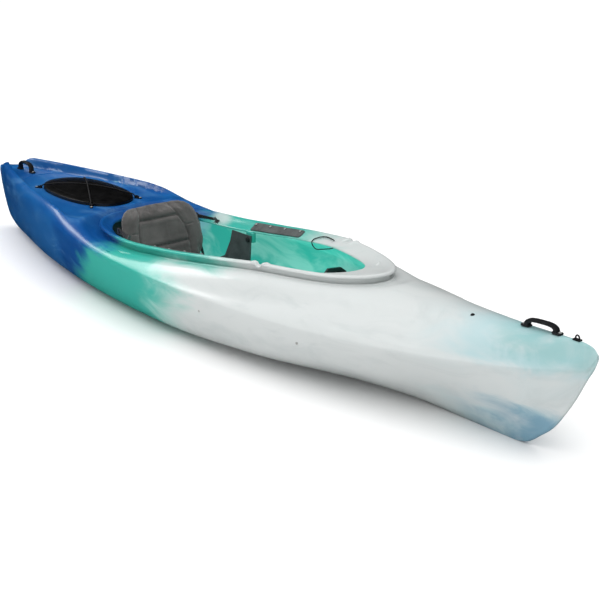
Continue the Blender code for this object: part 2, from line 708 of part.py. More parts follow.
class Kayak:
    """Holds the collections, materials and the hull's own points that the fittings are placed from."""

    def __init__(self):
        self.parts = bpy.data.collections.new("kayak")
        self.guides = bpy.data.collections.new("cutters")
        for collection in (self.parts, self.guides):
            bpy.context.scene.collection.children.link(collection)
        self.guides.hide_render = True
        self.polyethylene = self.material("polyethylene", (0.35, 0.62, 0.70), 0.38)
        self.hatch_black = self.material("hatch_black", (0.020, 0.020, 0.022), 0.45)
        self.black = self.material("black_plastic", (0.018, 0.018, 0.019), 0.5)
        self.cord = self.material("shock_cord", (0.015, 0.015, 0.016), 0.8)
        self.foam = self.material("closed_cell_foam", (0.05, 0.05, 0.052), 0.9)
        self.seat_grey = self.material("seat_plastic", (0.09, 0.095, 0.10), 0.55)
        self.cushion_grey = self.material("cushion_fabric", (0.20, 0.21, 0.22), 0.9)
        self.webbing = self.material("webbing", (0.02, 0.02, 0.021), 0.85)
        self.rail_grey = self.material("rail_plastic", (0.06, 0.06, 0.065), 0.5)
        self.steel = self.material("stainless_steel", (0.60, 0.60, 0.61), 0.3, 1.0)
        self.buckle_steel = self.material("buckle_metal", (0.45, 0.45, 0.46), 0.35, 1.0)
        self.hull_cuts = []
        self.handle_holes = []
        self.grid, self.coaming = hull_surface()
        self.inside = inset_surface(self.grid, self.coaming, WALL)

    def material(self, name, colour, roughness, metallic=0.0):
        made = bpy.data.materials.new(name)
        made.use_nodes = True
        shader = made.node_tree.nodes["Principled BSDF"]
        shader.inputs["Base Color"].default_value = (*colour, 1)
        shader.inputs["Roughness"].default_value = roughness
        shader.inputs["Metallic"].default_value = metallic
        return made

    def part(self, name, bm, material):
        return new_object(name, bm, material, self.parts)

    def guide(self, name, bm):
        obj = new_object(name, bm, None, self.guides)
        obj.display_type = "WIRE"
        obj.hide_render = True
        return obj

    def merge(self, obj, pieces):
        """Joins closed meshes to an object by Boolean union."""
        for bm in pieces:
            boolean(obj, self.guide(obj.name + "_add", bm), "UNION")
        return obj

    def cut(self, obj, pieces):
        for bm in pieces:
            boolean(obj, self.guide(obj.name + "_cut", bm))
        return obj

    def ridge(self, x):
        """Height of the deck's faceted middle line."""
        xs = [column[-1].x for column in self.grid]
        zs = [column[-1].z for column in self.grid]
        return float(np.interp(x, xs, zs))

    def deck_spot(self, x, y):
        """The point of the faceted deck over a place in plan, and the deck's normal there."""
        rows = len(self.grid[0])
        points = [p for column in self.grid for p in column]
        faces = []
        for i in range(len(self.grid) - 1):
            for row in range(BOTTOM_ROWS - 1, rows - 1):
                a = i * rows + row
                faces.append((a, a + 1, a + rows + 1, a + rows))
        tree = BVHTree.FromPolygons(points, faces)
        spot, normal, face, distance = tree.ray_cast(Vector((x, abs(y), 1)), Vector((0, 0, -1)))
        side = Vector((1, -1 if y < 0 else 1, 1))
        return spot * side, normal * side

    def floor(self, x, y):
        """Height of the hull's inside over its bottom."""
        rows = range(0, 4)
        ys, zs = [], []
        for row in rows:
            xs = [column[row].x for column in self.inside]
            ys.append(np.interp(x, xs, [column[row].y for column in self.inside]))
            zs.append(np.interp(x, xs, [column[row].z for column in self.inside]))
        return float(np.interp(abs(y), ys, zs))

    def coaming_row(self, x, row):
        """A point of one of the coaming's lengthwise lines at port, at a place along the cockpit."""
        xs, ys, zs = zip(*sorted(tuple(rows[row]) for rows in self.coaming.values()))
        return Vector((x, np.interp(x, xs, ys), np.interp(x, xs, zs)))

    def half_width(self, surface, x, z):
        """Half width of the hull's outer or inner surface at a place along it, below the knuckle."""
        last = BOTTOM_ROWS if surface is self.grid else INNER_ROWS.index(BOTTOM_ROWS - 1) + 1
        ys, zs = [], []
        for row in range(1, last):
            xs = [column[row].x for column in surface]
            ys.append(np.interp(x, xs, [column[row].y for column in surface]))
            zs.append(np.interp(x, xs, [column[row].z for column in surface]))
        return float(np.interp(z, zs, ys))

    def flange_point(self, x, share):
        """A point of the coaming's flange at port: share 0 is under the lip, share 1 at the opening."""
        top, middle, edge = (self.coaming_row(x, row) for row in (4, 5, 6))
        return top.lerp(middle, share * 2) if share < 0.5 else middle.lerp(edge, share * 2 - 1)

    def flange_normal(self, x, share):
        along = self.flange_point(x + 0.01, share) - self.flange_point(x - 0.01, share)
        down = self.flange_point(x, 1) - self.flange_point(x, 0)
        return along.cross(down).normalized() * -1

    def turned(self, name, profile, material, origin, axis, steps):
        """A turned piece. Its profile is (radius, height) points from the top down, along an axis."""
        bm = bmesh.new()
        verts = [bm.verts.new((radius, 0, height)) for radius, height in profile]
        for before, after in zip(verts, verts[1:]):
            bm.edges.new((before, after))
        obj = self.part(name, bm, material)
        screw = obj.modifiers.new("Screw", "SCREW")
        screw.steps = steps
        screw.render_steps = steps
        screw.use_merge_vertices = True
        screw.merge_threshold = 0.00001
        obj.matrix_world = axis_frame(origin, axis)
        return obj

    def screw(self, name, seat, axis, length, into_hull=True):
        """A pan-head screw on its seat, pointing in against its axis, and its hole in the hull."""
        seat, axis = Vector(seat), Vector(axis).normalized()
        head, rise, shank = SCREW_HEAD_RADIUS, SCREW_HEAD_HEIGHT, SCREW_SHANK_RADIUS
        profile = (
            (0, rise), (0.75 * head, 0.75 * rise), (head, 0),
            (shank, 0), (shank, -length), (0, -length),
        )
        self.turned(name, profile, self.steel, seat + axis * GAP, axis, SCREW_STEPS)
        if into_hull:
            self.hull_cuts.append(self.screw_hole(seat, axis, length))

    def screw_hole(self, seat, axis, length):
        seat, axis = Vector(seat), Vector(axis).normalized()
        bottom, top = seat - axis * (length + HOLE_REACH), seat + axis * HOLE_REACH
        return rod_mesh(bottom, top, SCREW_SHANK_RADIUS + SCREW_CLEARANCE, HOLE_SIDES)

    def tube(self, name, points, radius, material, thickness=None):
        """A round cord or bar through points, with an optional share of the radius at each point."""
        curve = bpy.data.curves.new(name, "CURVE")
        curve.dimensions = "3D"
        curve.bevel_depth = radius
        curve.bevel_resolution = 2
        curve.use_fill_caps = True
        spline = curve.splines.new("POLY")
        spline.points.add(len(points) - 1)
        for k, point in enumerate(points):
            spline.points[k].co = (*point, 1)
            spline.points[k].radius = thickness[k] if thickness else 1
        curve.materials.append(material)
        obj = bpy.data.objects.new(name, curve)
        self.parts.objects.link(obj)
        return obj

    def tube_mesh(self, points, radius, thickness=None):
        """The same bar as a closed mesh, to be joined to another piece."""
        obj = self.tube("bar", points, radius, self.black, thickness)
        graph = bpy.context.evaluated_depsgraph_get()
        mesh = bpy.data.meshes.new_from_object(obj.evaluated_get(graph))
        bm = bmesh.new()
        bm.from_mesh(mesh)
        bmesh.ops.remove_doubles(bm, verts=bm.verts, dist=0.00001)
        bmesh.ops.recalc_face_normals(bm, faces=bm.faces)
        bpy.data.objects.remove(obj)
        bpy.data.meshes.remove(mesh)
        return bm

    def starboard_copy(self, port, name):
        """The same piece on the other side of the middle plane."""
        copy = port.copy()
        copy.data = port.data.copy()
        copy.data.transform(Matrix.Diagonal((1, -1, 1, 1)))
        copy.data.flip_normals()
        copy.location.y *= -1
        copy.name = name
        self.parts.objects.link(copy)
        return copy


def frame_at(origin, along, up=(0, 0, 1)):
    """A placement whose X runs along a line and whose Z is as near to up as it can be."""
    x = Vector(along).normalized()
    y = Vector(up).cross(x).normalized()
    return Matrix.Translation(Vector(origin)) @ Matrix((x, y, x.cross(y))).transposed().to_4x4()


def axis_frame(origin, axis):
    """A placement whose Z runs along an axis."""
    turn = Vector(axis).to_track_quat("Z", "Y").to_matrix().to_4x4()
    return Matrix.Translation(Vector(origin)) @ turn


def joined(meshes):
    """Separate closed meshes as one."""
    whole = bmesh.new()
    for bm in meshes:
        mesh = bpy.data.meshes.new("piece")
        bm.to_mesh(mesh)
        bm.free()
        whole.from_mesh(mesh)
        bpy.data.meshes.remove(mesh)
    return whole


def moved(bm, matrix):
    bm.transform(matrix)
    return bm


def mirrored_mesh(bm):
    """A copy of a mesh on the other side of the middle plane."""
    copy = bm.copy()
    copy.transform(Matrix.Diagonal((1, -1, 1, 1)))
    bmesh.ops.reverse_faces(copy, faces=copy.faces)
    return copy


# Hull


def build_hull(kayak):
    """The rotomoulded shell, without the holes that its fittings need."""
    hull = mirrored(kayak.part("hull", hull_half(kayak.grid, kayak.coaming), kayak.polyethylene))
    cavity = mirrored(kayak.guide("cavity", cavity_half(kayak.grid, kayak.coaming)))
    shrunk(applied(cavity), FOAM_GAP)
    rim = ring_solid([hatch_ring(HATCH_HOLE_INSET - HATCH_RIM_WALL, z)
                      for z in (TRAY_FLOOR - WALL / 2, TRAY_FLOOR + HATCH_RIM_HEIGHT)])
    boss = seat_boss(kayak)
    kayak.merge(hull, [joined([rim, mirrored_mesh(boss), boss])])
    low, high = TRAY_FLOOR - HATCH_CUT_REACH, TRAY_FLOOR + HATCH_CUT_REACH
    kayak.hull_cuts.append(ring_solid([hatch_ring(HATCH_HOLE_INSET, z) for z in (low, high)]))
    rest = float(lip_height(PADDLE_REST)) + PADDLE_REST_RADIUS - PADDLE_REST_DEPTH
    ends = [(PADDLE_REST, side * (COAMING_HALF_WIDTH + PADDLE_REST_RADIUS * 2), rest) for side in (-1, 1)]
    kayak.hull_cuts.append(rod_mesh(*ends, PADDLE_REST_RADIUS))
    return hull, cavity


def finish_hull(kayak, hull):
    kayak.cut(hull, [joined(kayak.hull_cuts)])
    smooth_shaded(hull, 40)


def build_foam(kayak, cavity):
    """The bulkhead behind the seat and the pillar under the foredeck, shaped by the inside of the hull."""
    reach = HALF_BEAM
    spans = {
        "foam_bulkhead": ((BULKHEAD_REAR, -reach), (BULKHEAD_FRONT, reach)),
        "foam_pillar": ((PILLAR_REAR, -PILLAR_HALF_WIDTH), (PILLAR_FRONT, PILLAR_HALF_WIDTH)),
    }
    for name, (low, high) in spans.items():
        blank = box_mesh((*low, FOAM_BLANK_LOW), (*high, FOAM_BLANK_HIGH))
        boolean(kayak.part(name, blank, kayak.foam), cavity, "INTERSECT")


# Stern hatch


def hatch_ring(inset, z, scale=1.0):
    """A ring of the hatch's oval at a height, drawn in from the cover's edge."""
    length, width = (HATCH_HALF_LENGTH - inset) * scale, (HATCH_HALF_WIDTH - inset) * scale
    ring = []
    for k in range(HATCH_SEGMENTS):
        angle = 2 * math.pi * (k + 0.5) / HATCH_SEGMENTS
        c, s = math.cos(angle), math.sin(angle)
        x = HATCH_CENTRE + math.copysign(length * abs(c) ** (2 / HATCH_POWER), c)
        y = math.copysign(width * abs(s) ** (2 / HATCH_POWER), s)
        ring.append(Vector((x, y, z)))
    return ring


def hatch_share(along, across, inset=0.0):
    """Where a point off the hatch's centre lies: 0 at the centre, 1 on the oval."""
    ratio_x = abs(along) / (HATCH_HALF_LENGTH - inset)
    ratio_y = abs(across) / (HATCH_HALF_WIDTH - inset)
    return (ratio_x**HATCH_POWER + ratio_y**HATCH_POWER) ** (1 / HATCH_POWER)


def dome_height(share):
    return TRAY_FLOOR + COVER_SKIRT + COVER_CROWN * (1 - share**2)


def build_hatch(kayak):
    """The domed cover with its skirt, hollow underneath, and the gasket that it presses on."""
    foot = TRAY_FLOOR + GAP
    shares = (0.15, 0.42, 0.68, 0.88, 1.0)
    under = COVER_SHOULDER + COVER_WALL
    rings = [hatch_ring(under, dome_height(share) - COVER_WALL, share) for share in shares]
    rings += [hatch_ring(COVER_WALL, dome_height(1) - COVER_WALL - 0.002), hatch_ring(COVER_WALL, foot)]
    rings += [hatch_ring(0, foot), hatch_ring(0, dome_height(1) - 0.004)]
    rings.append(hatch_ring(COVER_SHOULDER * 0.3, dome_height(1) - 0.001))
    rings += [hatch_ring(COVER_SHOULDER, dome_height(share), share) for share in reversed(shares)]
    smooth_shaded(kayak.part("hatch_cover", ring_solid(rings), kayak.hatch_black))
    top = dome_height(1) - COVER_WALL - GAP
    sections = zip(*(hatch_ring(inset, z) for inset, z in (
        (GASKET_INSET, foot), (GASKET_INSET, top), (GASKET_INSET + GASKET_WIDTH, top),
        (GASKET_INSET + GASKET_WIDTH, foot),
    )))
    smooth_shaded(kayak.part("hatch_gasket", ring_solid(list(sections), closed=True), kayak.foam))


def cord_direction(sign):
    """Direction in plan of a hatch cord, from the hatch's centre to its bow-side cleat."""
    across = HATCH_HALF_WIDTH * (1 - (CLEAT_REACH / HATCH_HALF_LENGTH) ** HATCH_POWER) ** (1 / HATCH_POWER)
    return Vector((CLEAT_REACH, across * sign, 0)).normalized()


def cleat_distance(direction):
    """Distance from the hatch's centre to a cleat's mouth, just outside the cover."""
    return 1 / hatch_share(direction.x, direction.y) + CLEAT_CLEARANCE


def build_cords(kayak):
    """Two shock cords crossed over the cover, the second over the first, knotted in their cleats."""
    slot = TRAY_FLOOR + GAP + CLEAT_BASE + GAP + CORD_DIAMETER / 2 * KNOT_SHARE
    for number, sign in enumerate((1, -1), 1):
        direction = cord_direction(sign)
        mouth = cleat_distance(direction)
        rim = mouth - CLEAT_CLEARANCE
        path = []
        for share in np.linspace(0, 1, CORD_DOME_POINTS):
            along = (rim - 0.004) * share
            spot = direction * along
            height = dome_height(min(1.0, hatch_share(spot.x, spot.y, COVER_SHOULDER)))
            height += CORD_DIAMETER / 2 + 2 * GAP
            if number == 2:
                lift = CORD_DIAMETER + 2 * GAP
                height += lift * float(1 - smoothstep(0.006, 0.045, along))
            path.append((along, height, 1.0))
        path.append((rim + 0.0035, dome_height(1) + 0.0008, 1.0))
        path.append((mouth - 0.002, slot + 0.0012, 1.0))
        path += [(mouth + reach, slot, 1.0) for reach in (0.002, CHEEK_LENGTH, CHEEK_LENGTH + 0.0012)]
        knot = mouth + CHEEK_LENGTH + 0.0022
        path += [(knot, slot, KNOT_SHARE), (knot + 0.003, slot, KNOT_SHARE), (knot + 0.0045, slot, 1.0)]
        route = [(-along, height, share) for along, height, share in reversed(path[1:])] + path
        points = [Vector((HATCH_CENTRE, 0, 0)) + direction * along + Vector((0, 0, height))
                  for along, height, share in route]
        widths = [share for along, height, share in route]
        kayak.tube(f"hatch_cord_{number}", points, CORD_DIAMETER / 2, kayak.cord, widths)


def build_cleats(kayak):
    """Four open-topped cleats round the hatch, each held down by a screw."""
    number = 0
    for end in (1, -1):
        for sign in (1, -1):
            number += 1
            direction = cord_direction(sign * end) * end
            place = Vector((HATCH_CENTRE, 0, TRAY_FLOOR)) + direction * cleat_distance(direction)
            block = box_mesh((0, -CLEAT_WIDTH / 2, GAP), (CLEAT_LENGTH, CLEAT_WIDTH / 2, CLEAT_HEIGHT))
            cleat = kayak.part(f"cord_cleat_{number}", block, kayak.black)
            slot = CORD_DIAMETER / 2 + 2 * GAP
            base = GAP + CLEAT_BASE
            over, top = CUT_REACH, CLEAT_HEIGHT + CUT_REACH
            hole = SCREW_SHANK_RADIUS + SCREW_CLEARANCE
            cuts = [
                box_mesh((-over, -slot, base), (CHEEK_LENGTH + over, slot, top)),
                box_mesh((CHEEK_LENGTH, -CLEAT_WIDTH, base), (CLEAT_LENGTH + over, CLEAT_WIDTH, top)),
                rod_mesh(
                    (CLEAT_SCREW, 0, -CLEAT_HEIGHT), (CLEAT_SCREW, 0, 2 * CLEAT_HEIGHT), hole, HOLE_SIDES
                ),
            ]
            kayak.cut(cleat, cuts)
            applied(cleat)
            cleat.matrix_world = frame_at(place, direction)
            seat = place + direction * CLEAT_SCREW + Vector((0, 0, base))
            kayak.screw(f"cleat_screw_{number}", seat, (0, 0, 1), 0.014)


# Seat


def seat_floor(kayak):
    """Height of the pan's floor, so that its underside rests on the inside of the hull."""
    places = np.linspace(SEAT_REAR, SEAT_FRONT, 9)
    return max(kayak.floor(x, SEAT_FLOOR_HALF_WIDTH) for x in places) + GAP + SEAT_WALL


SEAT_RIM = smooth_line(
    (SEAT_REAR, 0.112), (-0.33, 0.115), (WING_REAR - 0.035, 0.155), (WING_REAR - 0.012, 0.215),
    (WING_REAR, WING_TOP), (WING_FRONT - 0.005, WING_TOP), (WING_FRONT, 0.075), (SEAT_FRONT, 0.052),
)
SEAT_SIDE = smooth_line(
    (0.035, 0.168), (HINGE_Z, 0.184), (0.155, SEAT_HALF_WIDTH), (WING_TOP, WING_HALF_WIDTH - SEAT_WALL),
)


def seat_side(z):
    """Half width of the pan's inside at a height."""
    return float(SEAT_SIDE(z))


PAN_STATIONS = (
    SEAT_REAR, SEAT_REAR + 0.04, SEAT_REAR + 0.09, WING_REAR - 0.045, WING_REAR - 0.012, WING_REAR,
    WING_FRONT - 0.06, WING_FRONT - 0.005, WING_FRONT, SEAT_FRONT,
)


def pan_lift(x):
    """How far the pan's floor turns up at its back and front, along the facets between its stations."""
    lifts = []
    for place in PAN_STATIONS:
        back = PAN_BACK_LIFT * (1 - smoothstep(SEAT_REAR, SEAT_REAR + 0.08, place))
        lifts.append(float(back + PAN_FRONT_LIFT * smoothstep(SEAT_FRONT - 0.08, SEAT_FRONT, place)))
    return float(np.interp(x, PAN_STATIONS, lifts))


def build_seat(kayak):
    """The moulded pan: a shell with a flat floor, side walls and two wings that hang from the coaming."""
    floor = seat_floor(kayak)
    bm = bmesh.new()
    rows = []
    for x in PAN_STATIONS:
        lift = pan_lift(x)
        rim = float(SEAT_RIM(x))
        low = floor + PAN_TURN
        half = [(0.0, floor + lift), (SEAT_FLOOR_HALF_WIDTH, floor + lift)]
        half += [(0.152, floor + lift + 0.008), (seat_side(low), max(low, floor + lift + 0.016))]
        for share in (1 / 3, 2 / 3, 1):
            z = low + (rim - low) * share
            half.append((seat_side(z), z))
        section = [(-y, z) for y, z in reversed(half[1:])] + half
        rows.append([bm.verts.new((x, y, z)) for y, z in section])
    for before, after in zip(rows, rows[1:]):
        for k in range(len(before) - 1):
            bm.faces.new((before[k], after[k], after[k + 1], before[k + 1]))
    pan = kayak.part("seat_pan", bm, kayak.seat_grey)
    shell = pan.modifiers.new("Solidify", "SOLIDIFY")
    shell.thickness = SEAT_WALL
    shell.offset = -1
    shell.use_even_offset = True
    holes = []
    pins = ((HINGE_X, HINGE_Z, HINGE_PIN_RADIUS, 16), (SEAT_BOLT, SEAT_BOLT_Z, BOLT_SHANK_RADIUS, 12))
    for x, z, radius, sides in pins:
        for side in (1, -1):
            inner, outer = (side * (WING_HALF_WIDTH + out) for out in (-PAN_HOLE_REACH, PAN_HOLE_REACH))
            holes.append(rod_mesh((x, inner, z), (x, outer, z), radius + PIN_CLEARANCE, sides))
    kayak.cut(pan, [joined(holes)])
    smooth_shaded(pan, 50)
    return floor


def wing_inside(kayak, z):
    """Half width of the pan's inside on the flat facets of a wing."""
    low = seat_floor(kayak) + PAN_TURN
    rows = [low + (WING_TOP - low) * k / 3 for k in range(4)]
    return float(np.interp(z, rows, [seat_side(row) for row in rows]))


def seat_boss(kayak):
    """The moulded boss under the coaming's flange that a wing of the seat bolts to, at port."""
    under = [kayak.coaming_row(SEAT_BOLT, row) for row in (7, 8, 9)]
    inner = WING_HALF_WIDTH + BOSS_CLEARANCE
    outer = max(inner + BOSS_WALL, under[0].y + BOSS_LAP)
    places = sorted({inner, outer} | {p.y for p in under if inner < p.y < outer}, reverse=True)
    low = SEAT_BOLT_Z - BOLT_HEAD_RADIUS
    section = [(inner, low), (outer, low)]
    for y in places:
        section.append((y, float(np.interp(y, [p.y for p in under], [p.z for p in under])) + WALL / 2))
    return across_mesh(section, SEAT_BOLT - BOSS_HALF_LENGTH, SEAT_BOLT + BOSS_HALF_LENGTH)


def build_seat_bolts(kayak):
    """A knob-headed bolt on each wing, through the pan into the coaming's boss."""
    # The square head touches the leaning wing at its lower or upper edge
    edges = (SEAT_BOLT_Z - BOLT_HEAD_RADIUS, SEAT_BOLT_Z + BOLT_HEAD_RADIUS)
    inner = min(wing_inside(kayak, z) for z in edges) - BOLT_CLEARANCE
    length = WING_HALF_WIDTH + BOSS_WALL + BOLT_END - inner
    head, shank = BOLT_HEAD_RADIUS, BOLT_SHANK_RADIUS
    profile = (
        (0, 0.007), (0.7 * head, 0.0066), (head, 0.0045), (head, 0.0012), (0.92 * head, 0),
        (shank, 0), (shank, -length), (0, -length),
    )
    for name, side in (("port", 1), ("starboard", -1)):
        origin = (SEAT_BOLT, inner * side, SEAT_BOLT_Z)
        kayak.turned(f"seat_bolt_{name}", profile, kayak.black, origin, (0, -side, 0), 12)
        start, end = (
            (SEAT_BOLT, (WING_HALF_WIDTH + out) * side, SEAT_BOLT_Z) for out in (-HOLE_REACH, PAN_HOLE_REACH)
        )
        kayak.hull_cuts.append(rod_mesh(start, end, shank + PIN_CLEARANCE, 12))


def border(grid):
    """The points round the rim of a grid, in order."""
    sides = [row[-1] for row in grid[:-1]], [row[0] for row in grid[:0:-1]]
    return grid[0][:-1] + sides[0] + grid[-1][:0:-1] + sides[1]


def cushion_cage(columns, rows, front, back):
    """A closed cage between two grids of points that share their outline, joined round the rim."""
    bm = bmesh.new()
    top = [[bm.verts.new(front(u, v)) for u in columns] for v in rows]
    under = [[bm.verts.new(back(u, v)) for u in columns] for v in rows]
    for grid, step in ((top, 1), (under, -1)):
        for a, b in zip(grid, grid[1:]):
            for k in range(len(a) - 1):
                bm.faces.new((a[k], a[k + 1], b[k + 1], b[k])[::step])
    over, below = border(top), border(under)
    for k in range(len(over)):
        j = (k + 1) % len(over)
        bm.faces.new((over[k], below[k], below[j], over[j]))
    bmesh.ops.recalc_face_normals(bm, faces=bm.faces)
    return bm


def subdivided(obj, levels=1):
    subsurf = obj.modifiers.new("Subdivision", "SUBSURF")
    subsurf.levels = levels
    subsurf.render_levels = levels
    return obj


def build_cushion(kayak, floor):
    """The seat's foam cushion: crowned, drawn in at its sides, with a channel across it."""
    middle, half = (CUSHION_REAR + CUSHION_FRONT) / 2, (CUSHION_FRONT - CUSHION_REAR) / 2

    def place(u, v, height):
        waist = 1 - 0.05 * (1 - v * v) * abs(u) ** 3
        corner = 1 - 0.06 * abs(u * v) ** 3
        x = middle + v * half * corner
        base = floor + CUSHION_CLEARANCE + pan_lift(x)
        return Vector((x, u * CUSHION_HALF_WIDTH * waist * corner, base + height))

    def top(u, v):
        crown = (1 - abs(u) ** 4) * (1 - abs(v) ** 4)
        channel = 0.35 * CUSHION_THICKNESS * math.exp(-((v / 0.09) ** 2))
        return place(u, v, CUSHION_THICKNESS * (0.62 + 0.45 * crown) - channel)

    def under(u, v):
        return place(u * 0.97, v * 0.97, 0.0)

    columns = (-1, -0.86, -0.5, -0.17, 0.17, 0.5, 0.86, 1)
    rows = (-1, -0.88, -0.5, -0.16, 0, 0.16, 0.5, 0.88, 1)
    cage = cushion_cage(columns, rows, top, under)
    smooth_shaded(subdivided(kayak.part("seat_cushion", cage, kayak.cushion_grey)), 180)


# Backrest


BACKREST_OUTLINE = smooth_line(
    (0, 0.66), (0.2, 0.88), (0.4, 1.0), (0.6, 0.985), (0.79, 0.86), (0.93, 0.66), (1, 0.45),
)


def backrest_point(u, v, depth, inset=0.0):
    """A point of the backrest: u across, v from foot to top, depth forward of its middle surface."""
    height = BACKREST_HEIGHT - 2 * inset
    z = BACKREST_FOOT + inset + v * height
    share = (z - BACKREST_FOOT) / BACKREST_HEIGHT
    y = u * (BACKREST_HALF_WIDTH * float(BACKREST_OUTLINE(share)) - inset)
    x = BACKREST_FOOT_X - math.tan(math.radians(BACKREST_LEAN)) * (z - BACKREST_FOOT)
    return Vector((x + BACKREST_WRAP * (abs(y) / BACKREST_HALF_WIDTH) ** 2.2 + depth, y, z))


def plate_point(u, v):
    """A point of the plate behind the pad."""
    return backrest_point(u, v, PAD_BACK - FRAME_CLEARANCE, FRAME_INSET)


def hinge_origin():
    return Matrix.Translation((HINGE_X, 0, HINGE_Z))


def on_hinge(bm):
    """Moves a mesh so that its object's origin can lie on the backrest's hinge."""
    return moved(bm, hinge_origin().inverted())


def build_backrest_frame(kayak):
    """The moulded plate behind the pad, with two hinge ears and the tabs that carry the strap buckles."""
    bm = bmesh.new()
    columns = np.linspace(-1, 1, 11)
    rows = np.linspace(0, 1, 7)
    verts = [[bm.verts.new(plate_point(u, v)) for u in columns] for v in rows]
    for a, b in zip(verts, verts[1:]):
        for k in range(len(a) - 1):
            bm.faces.new((a[k], a[k + 1], b[k + 1], b[k]))
    frame = kayak.part("backrest_frame", on_hinge(bm), kayak.black)
    frame.matrix_world = hinge_origin()
    shell = frame.modifiers.new("Solidify", "SOLIDIFY")
    shell.thickness = BACKREST_SHELL
    shell.offset = -1
    shell.use_even_offset = True
    outer = seat_side(HINGE_Z) - EAR_CLEARANCE
    pieces, holes = [], []
    for side in (1, -1):
        pieces.append(hinge_ear(outer, side))
        pieces.append(buckle_tab(side))
        ends = [(HINGE_X, side * (outer + out), HINGE_Z) for out in (-PAN_HOLE_REACH, PAN_HOLE_REACH)]
        holes.append(rod_mesh(*ends, HINGE_PIN_RADIUS + PIN_CLEARANCE))
    kayak.merge(frame, [joined(pieces)])
    kayak.cut(frame, [joined(holes)])
    smooth_shaded(frame, 50)


def hinge_ear(outer, side):
    """An arm from the side of the plate down behind the pad's edge to the hinge pin."""
    across = outer - EAR_WALL / 2
    wrap = BACKREST_WRAP * (across / BACKREST_HALF_WIDTH) ** 2.2
    lean = math.tan(math.radians(BACKREST_LEAN))
    front = []
    plate = PAD_BACK - FRAME_CLEARANCE - GAP
    for rise in ARM_RISES:
        front.append((BACKREST_FOOT_X - lean * rise + wrap + plate, BACKREST_FOOT + rise))
    back = [(x - ARM_DEPTH, z) for x, z in reversed(front)]
    foot = [(HINGE_X + EAR_RADIUS * math.cos(a), HINGE_Z + EAR_RADIUS * math.sin(a))
            for a in np.linspace(math.pi, 2 * math.pi, 7)]
    ys = sorted((side * outer, side * (outer - EAR_WALL)))
    return outline_mesh(foot + front + back, *ys)


def buckle_tab(side):
    """A tab from the edge of the plate, behind the pad, out to the strap buckle."""
    v = (BUCKLE_Z - BACKREST_FOOT - FRAME_INSET) / (BACKREST_HEIGHT - 2 * FRAME_INSET)
    edge = plate_point(TAB_SHARE, v)
    ys = sorted((side * edge.y, side * (BUCKLE_Y - GAP)))
    half = BUCKLE_HALF - 0.002
    shift = half * math.tan(math.radians(BACKREST_LEAN))
    front = [(edge.x + shift - GAP, BUCKLE_Z - half), (edge.x - shift - GAP, BUCKLE_Z + half)]
    back = [(x - BACKREST_SHELL, z) for x, z in reversed(front)]
    return outline_mesh(front + back, *ys)


def build_backrest_pad(kayak):
    """The padded cover: crowned, wrapped forward at its sides, with two channels across it."""

    def front(u, v):
        crown = (1 - abs(u) ** 5) * (1 - abs(2 * v - 1) ** 5)
        channels = sum(math.exp(-(((v - place) / 0.045) ** 2)) for place in PAD_CHANNELS)
        depth = PAD_BACK + BACKREST_PAD * (0.55 + 0.45 * crown - 0.24 * channels * (1 - u**4))
        return backrest_point(u, v, depth) - hinge_origin().translation

    def back(u, v):
        return backrest_point(u * 0.99, v, PAD_BACK) - hinge_origin().translation

    columns = (-1, -0.9, -0.72, -0.5, -0.25, 0, 0.25, 0.5, 0.72, 0.9, 1)
    low, high = PAD_CHANNELS
    rows = (0, 0.08, low - 0.07, low, low + 0.07, 0.5, high - 0.07, high, high + 0.07, 0.93, 1)
    pad = kayak.part("backrest_pad", cushion_cage(columns, rows, front, back), kayak.cushion_grey)
    pad.matrix_world = hinge_origin()
    smooth_shaded(subdivided(pad), 180)


def build_hinge_pins(kayak):
    """Pins through the ears of the backrest and the side walls of the pan."""
    wall = seat_side(HINGE_Z)
    inner = wall - EAR_CLEARANCE - EAR_WALL
    length = wall + SEAT_WALL + 0.004 - inner
    pin, head = HINGE_PIN_RADIUS, 0.0075
    profile = (
        (0, 0.003), (0.8 * head, 0.0026), (head, 0.0006), (head, 0),
        (pin, 0), (pin, -length), (0, -length),
    )
    for name, side in (("port", 1), ("starboard", -1)):
        origin = (HINGE_X, side * (inner - 2 * GAP), HINGE_Z)
        kayak.turned(f"hinge_pin_{name}", profile, kayak.steel, origin, (0, -side, 0), 12)


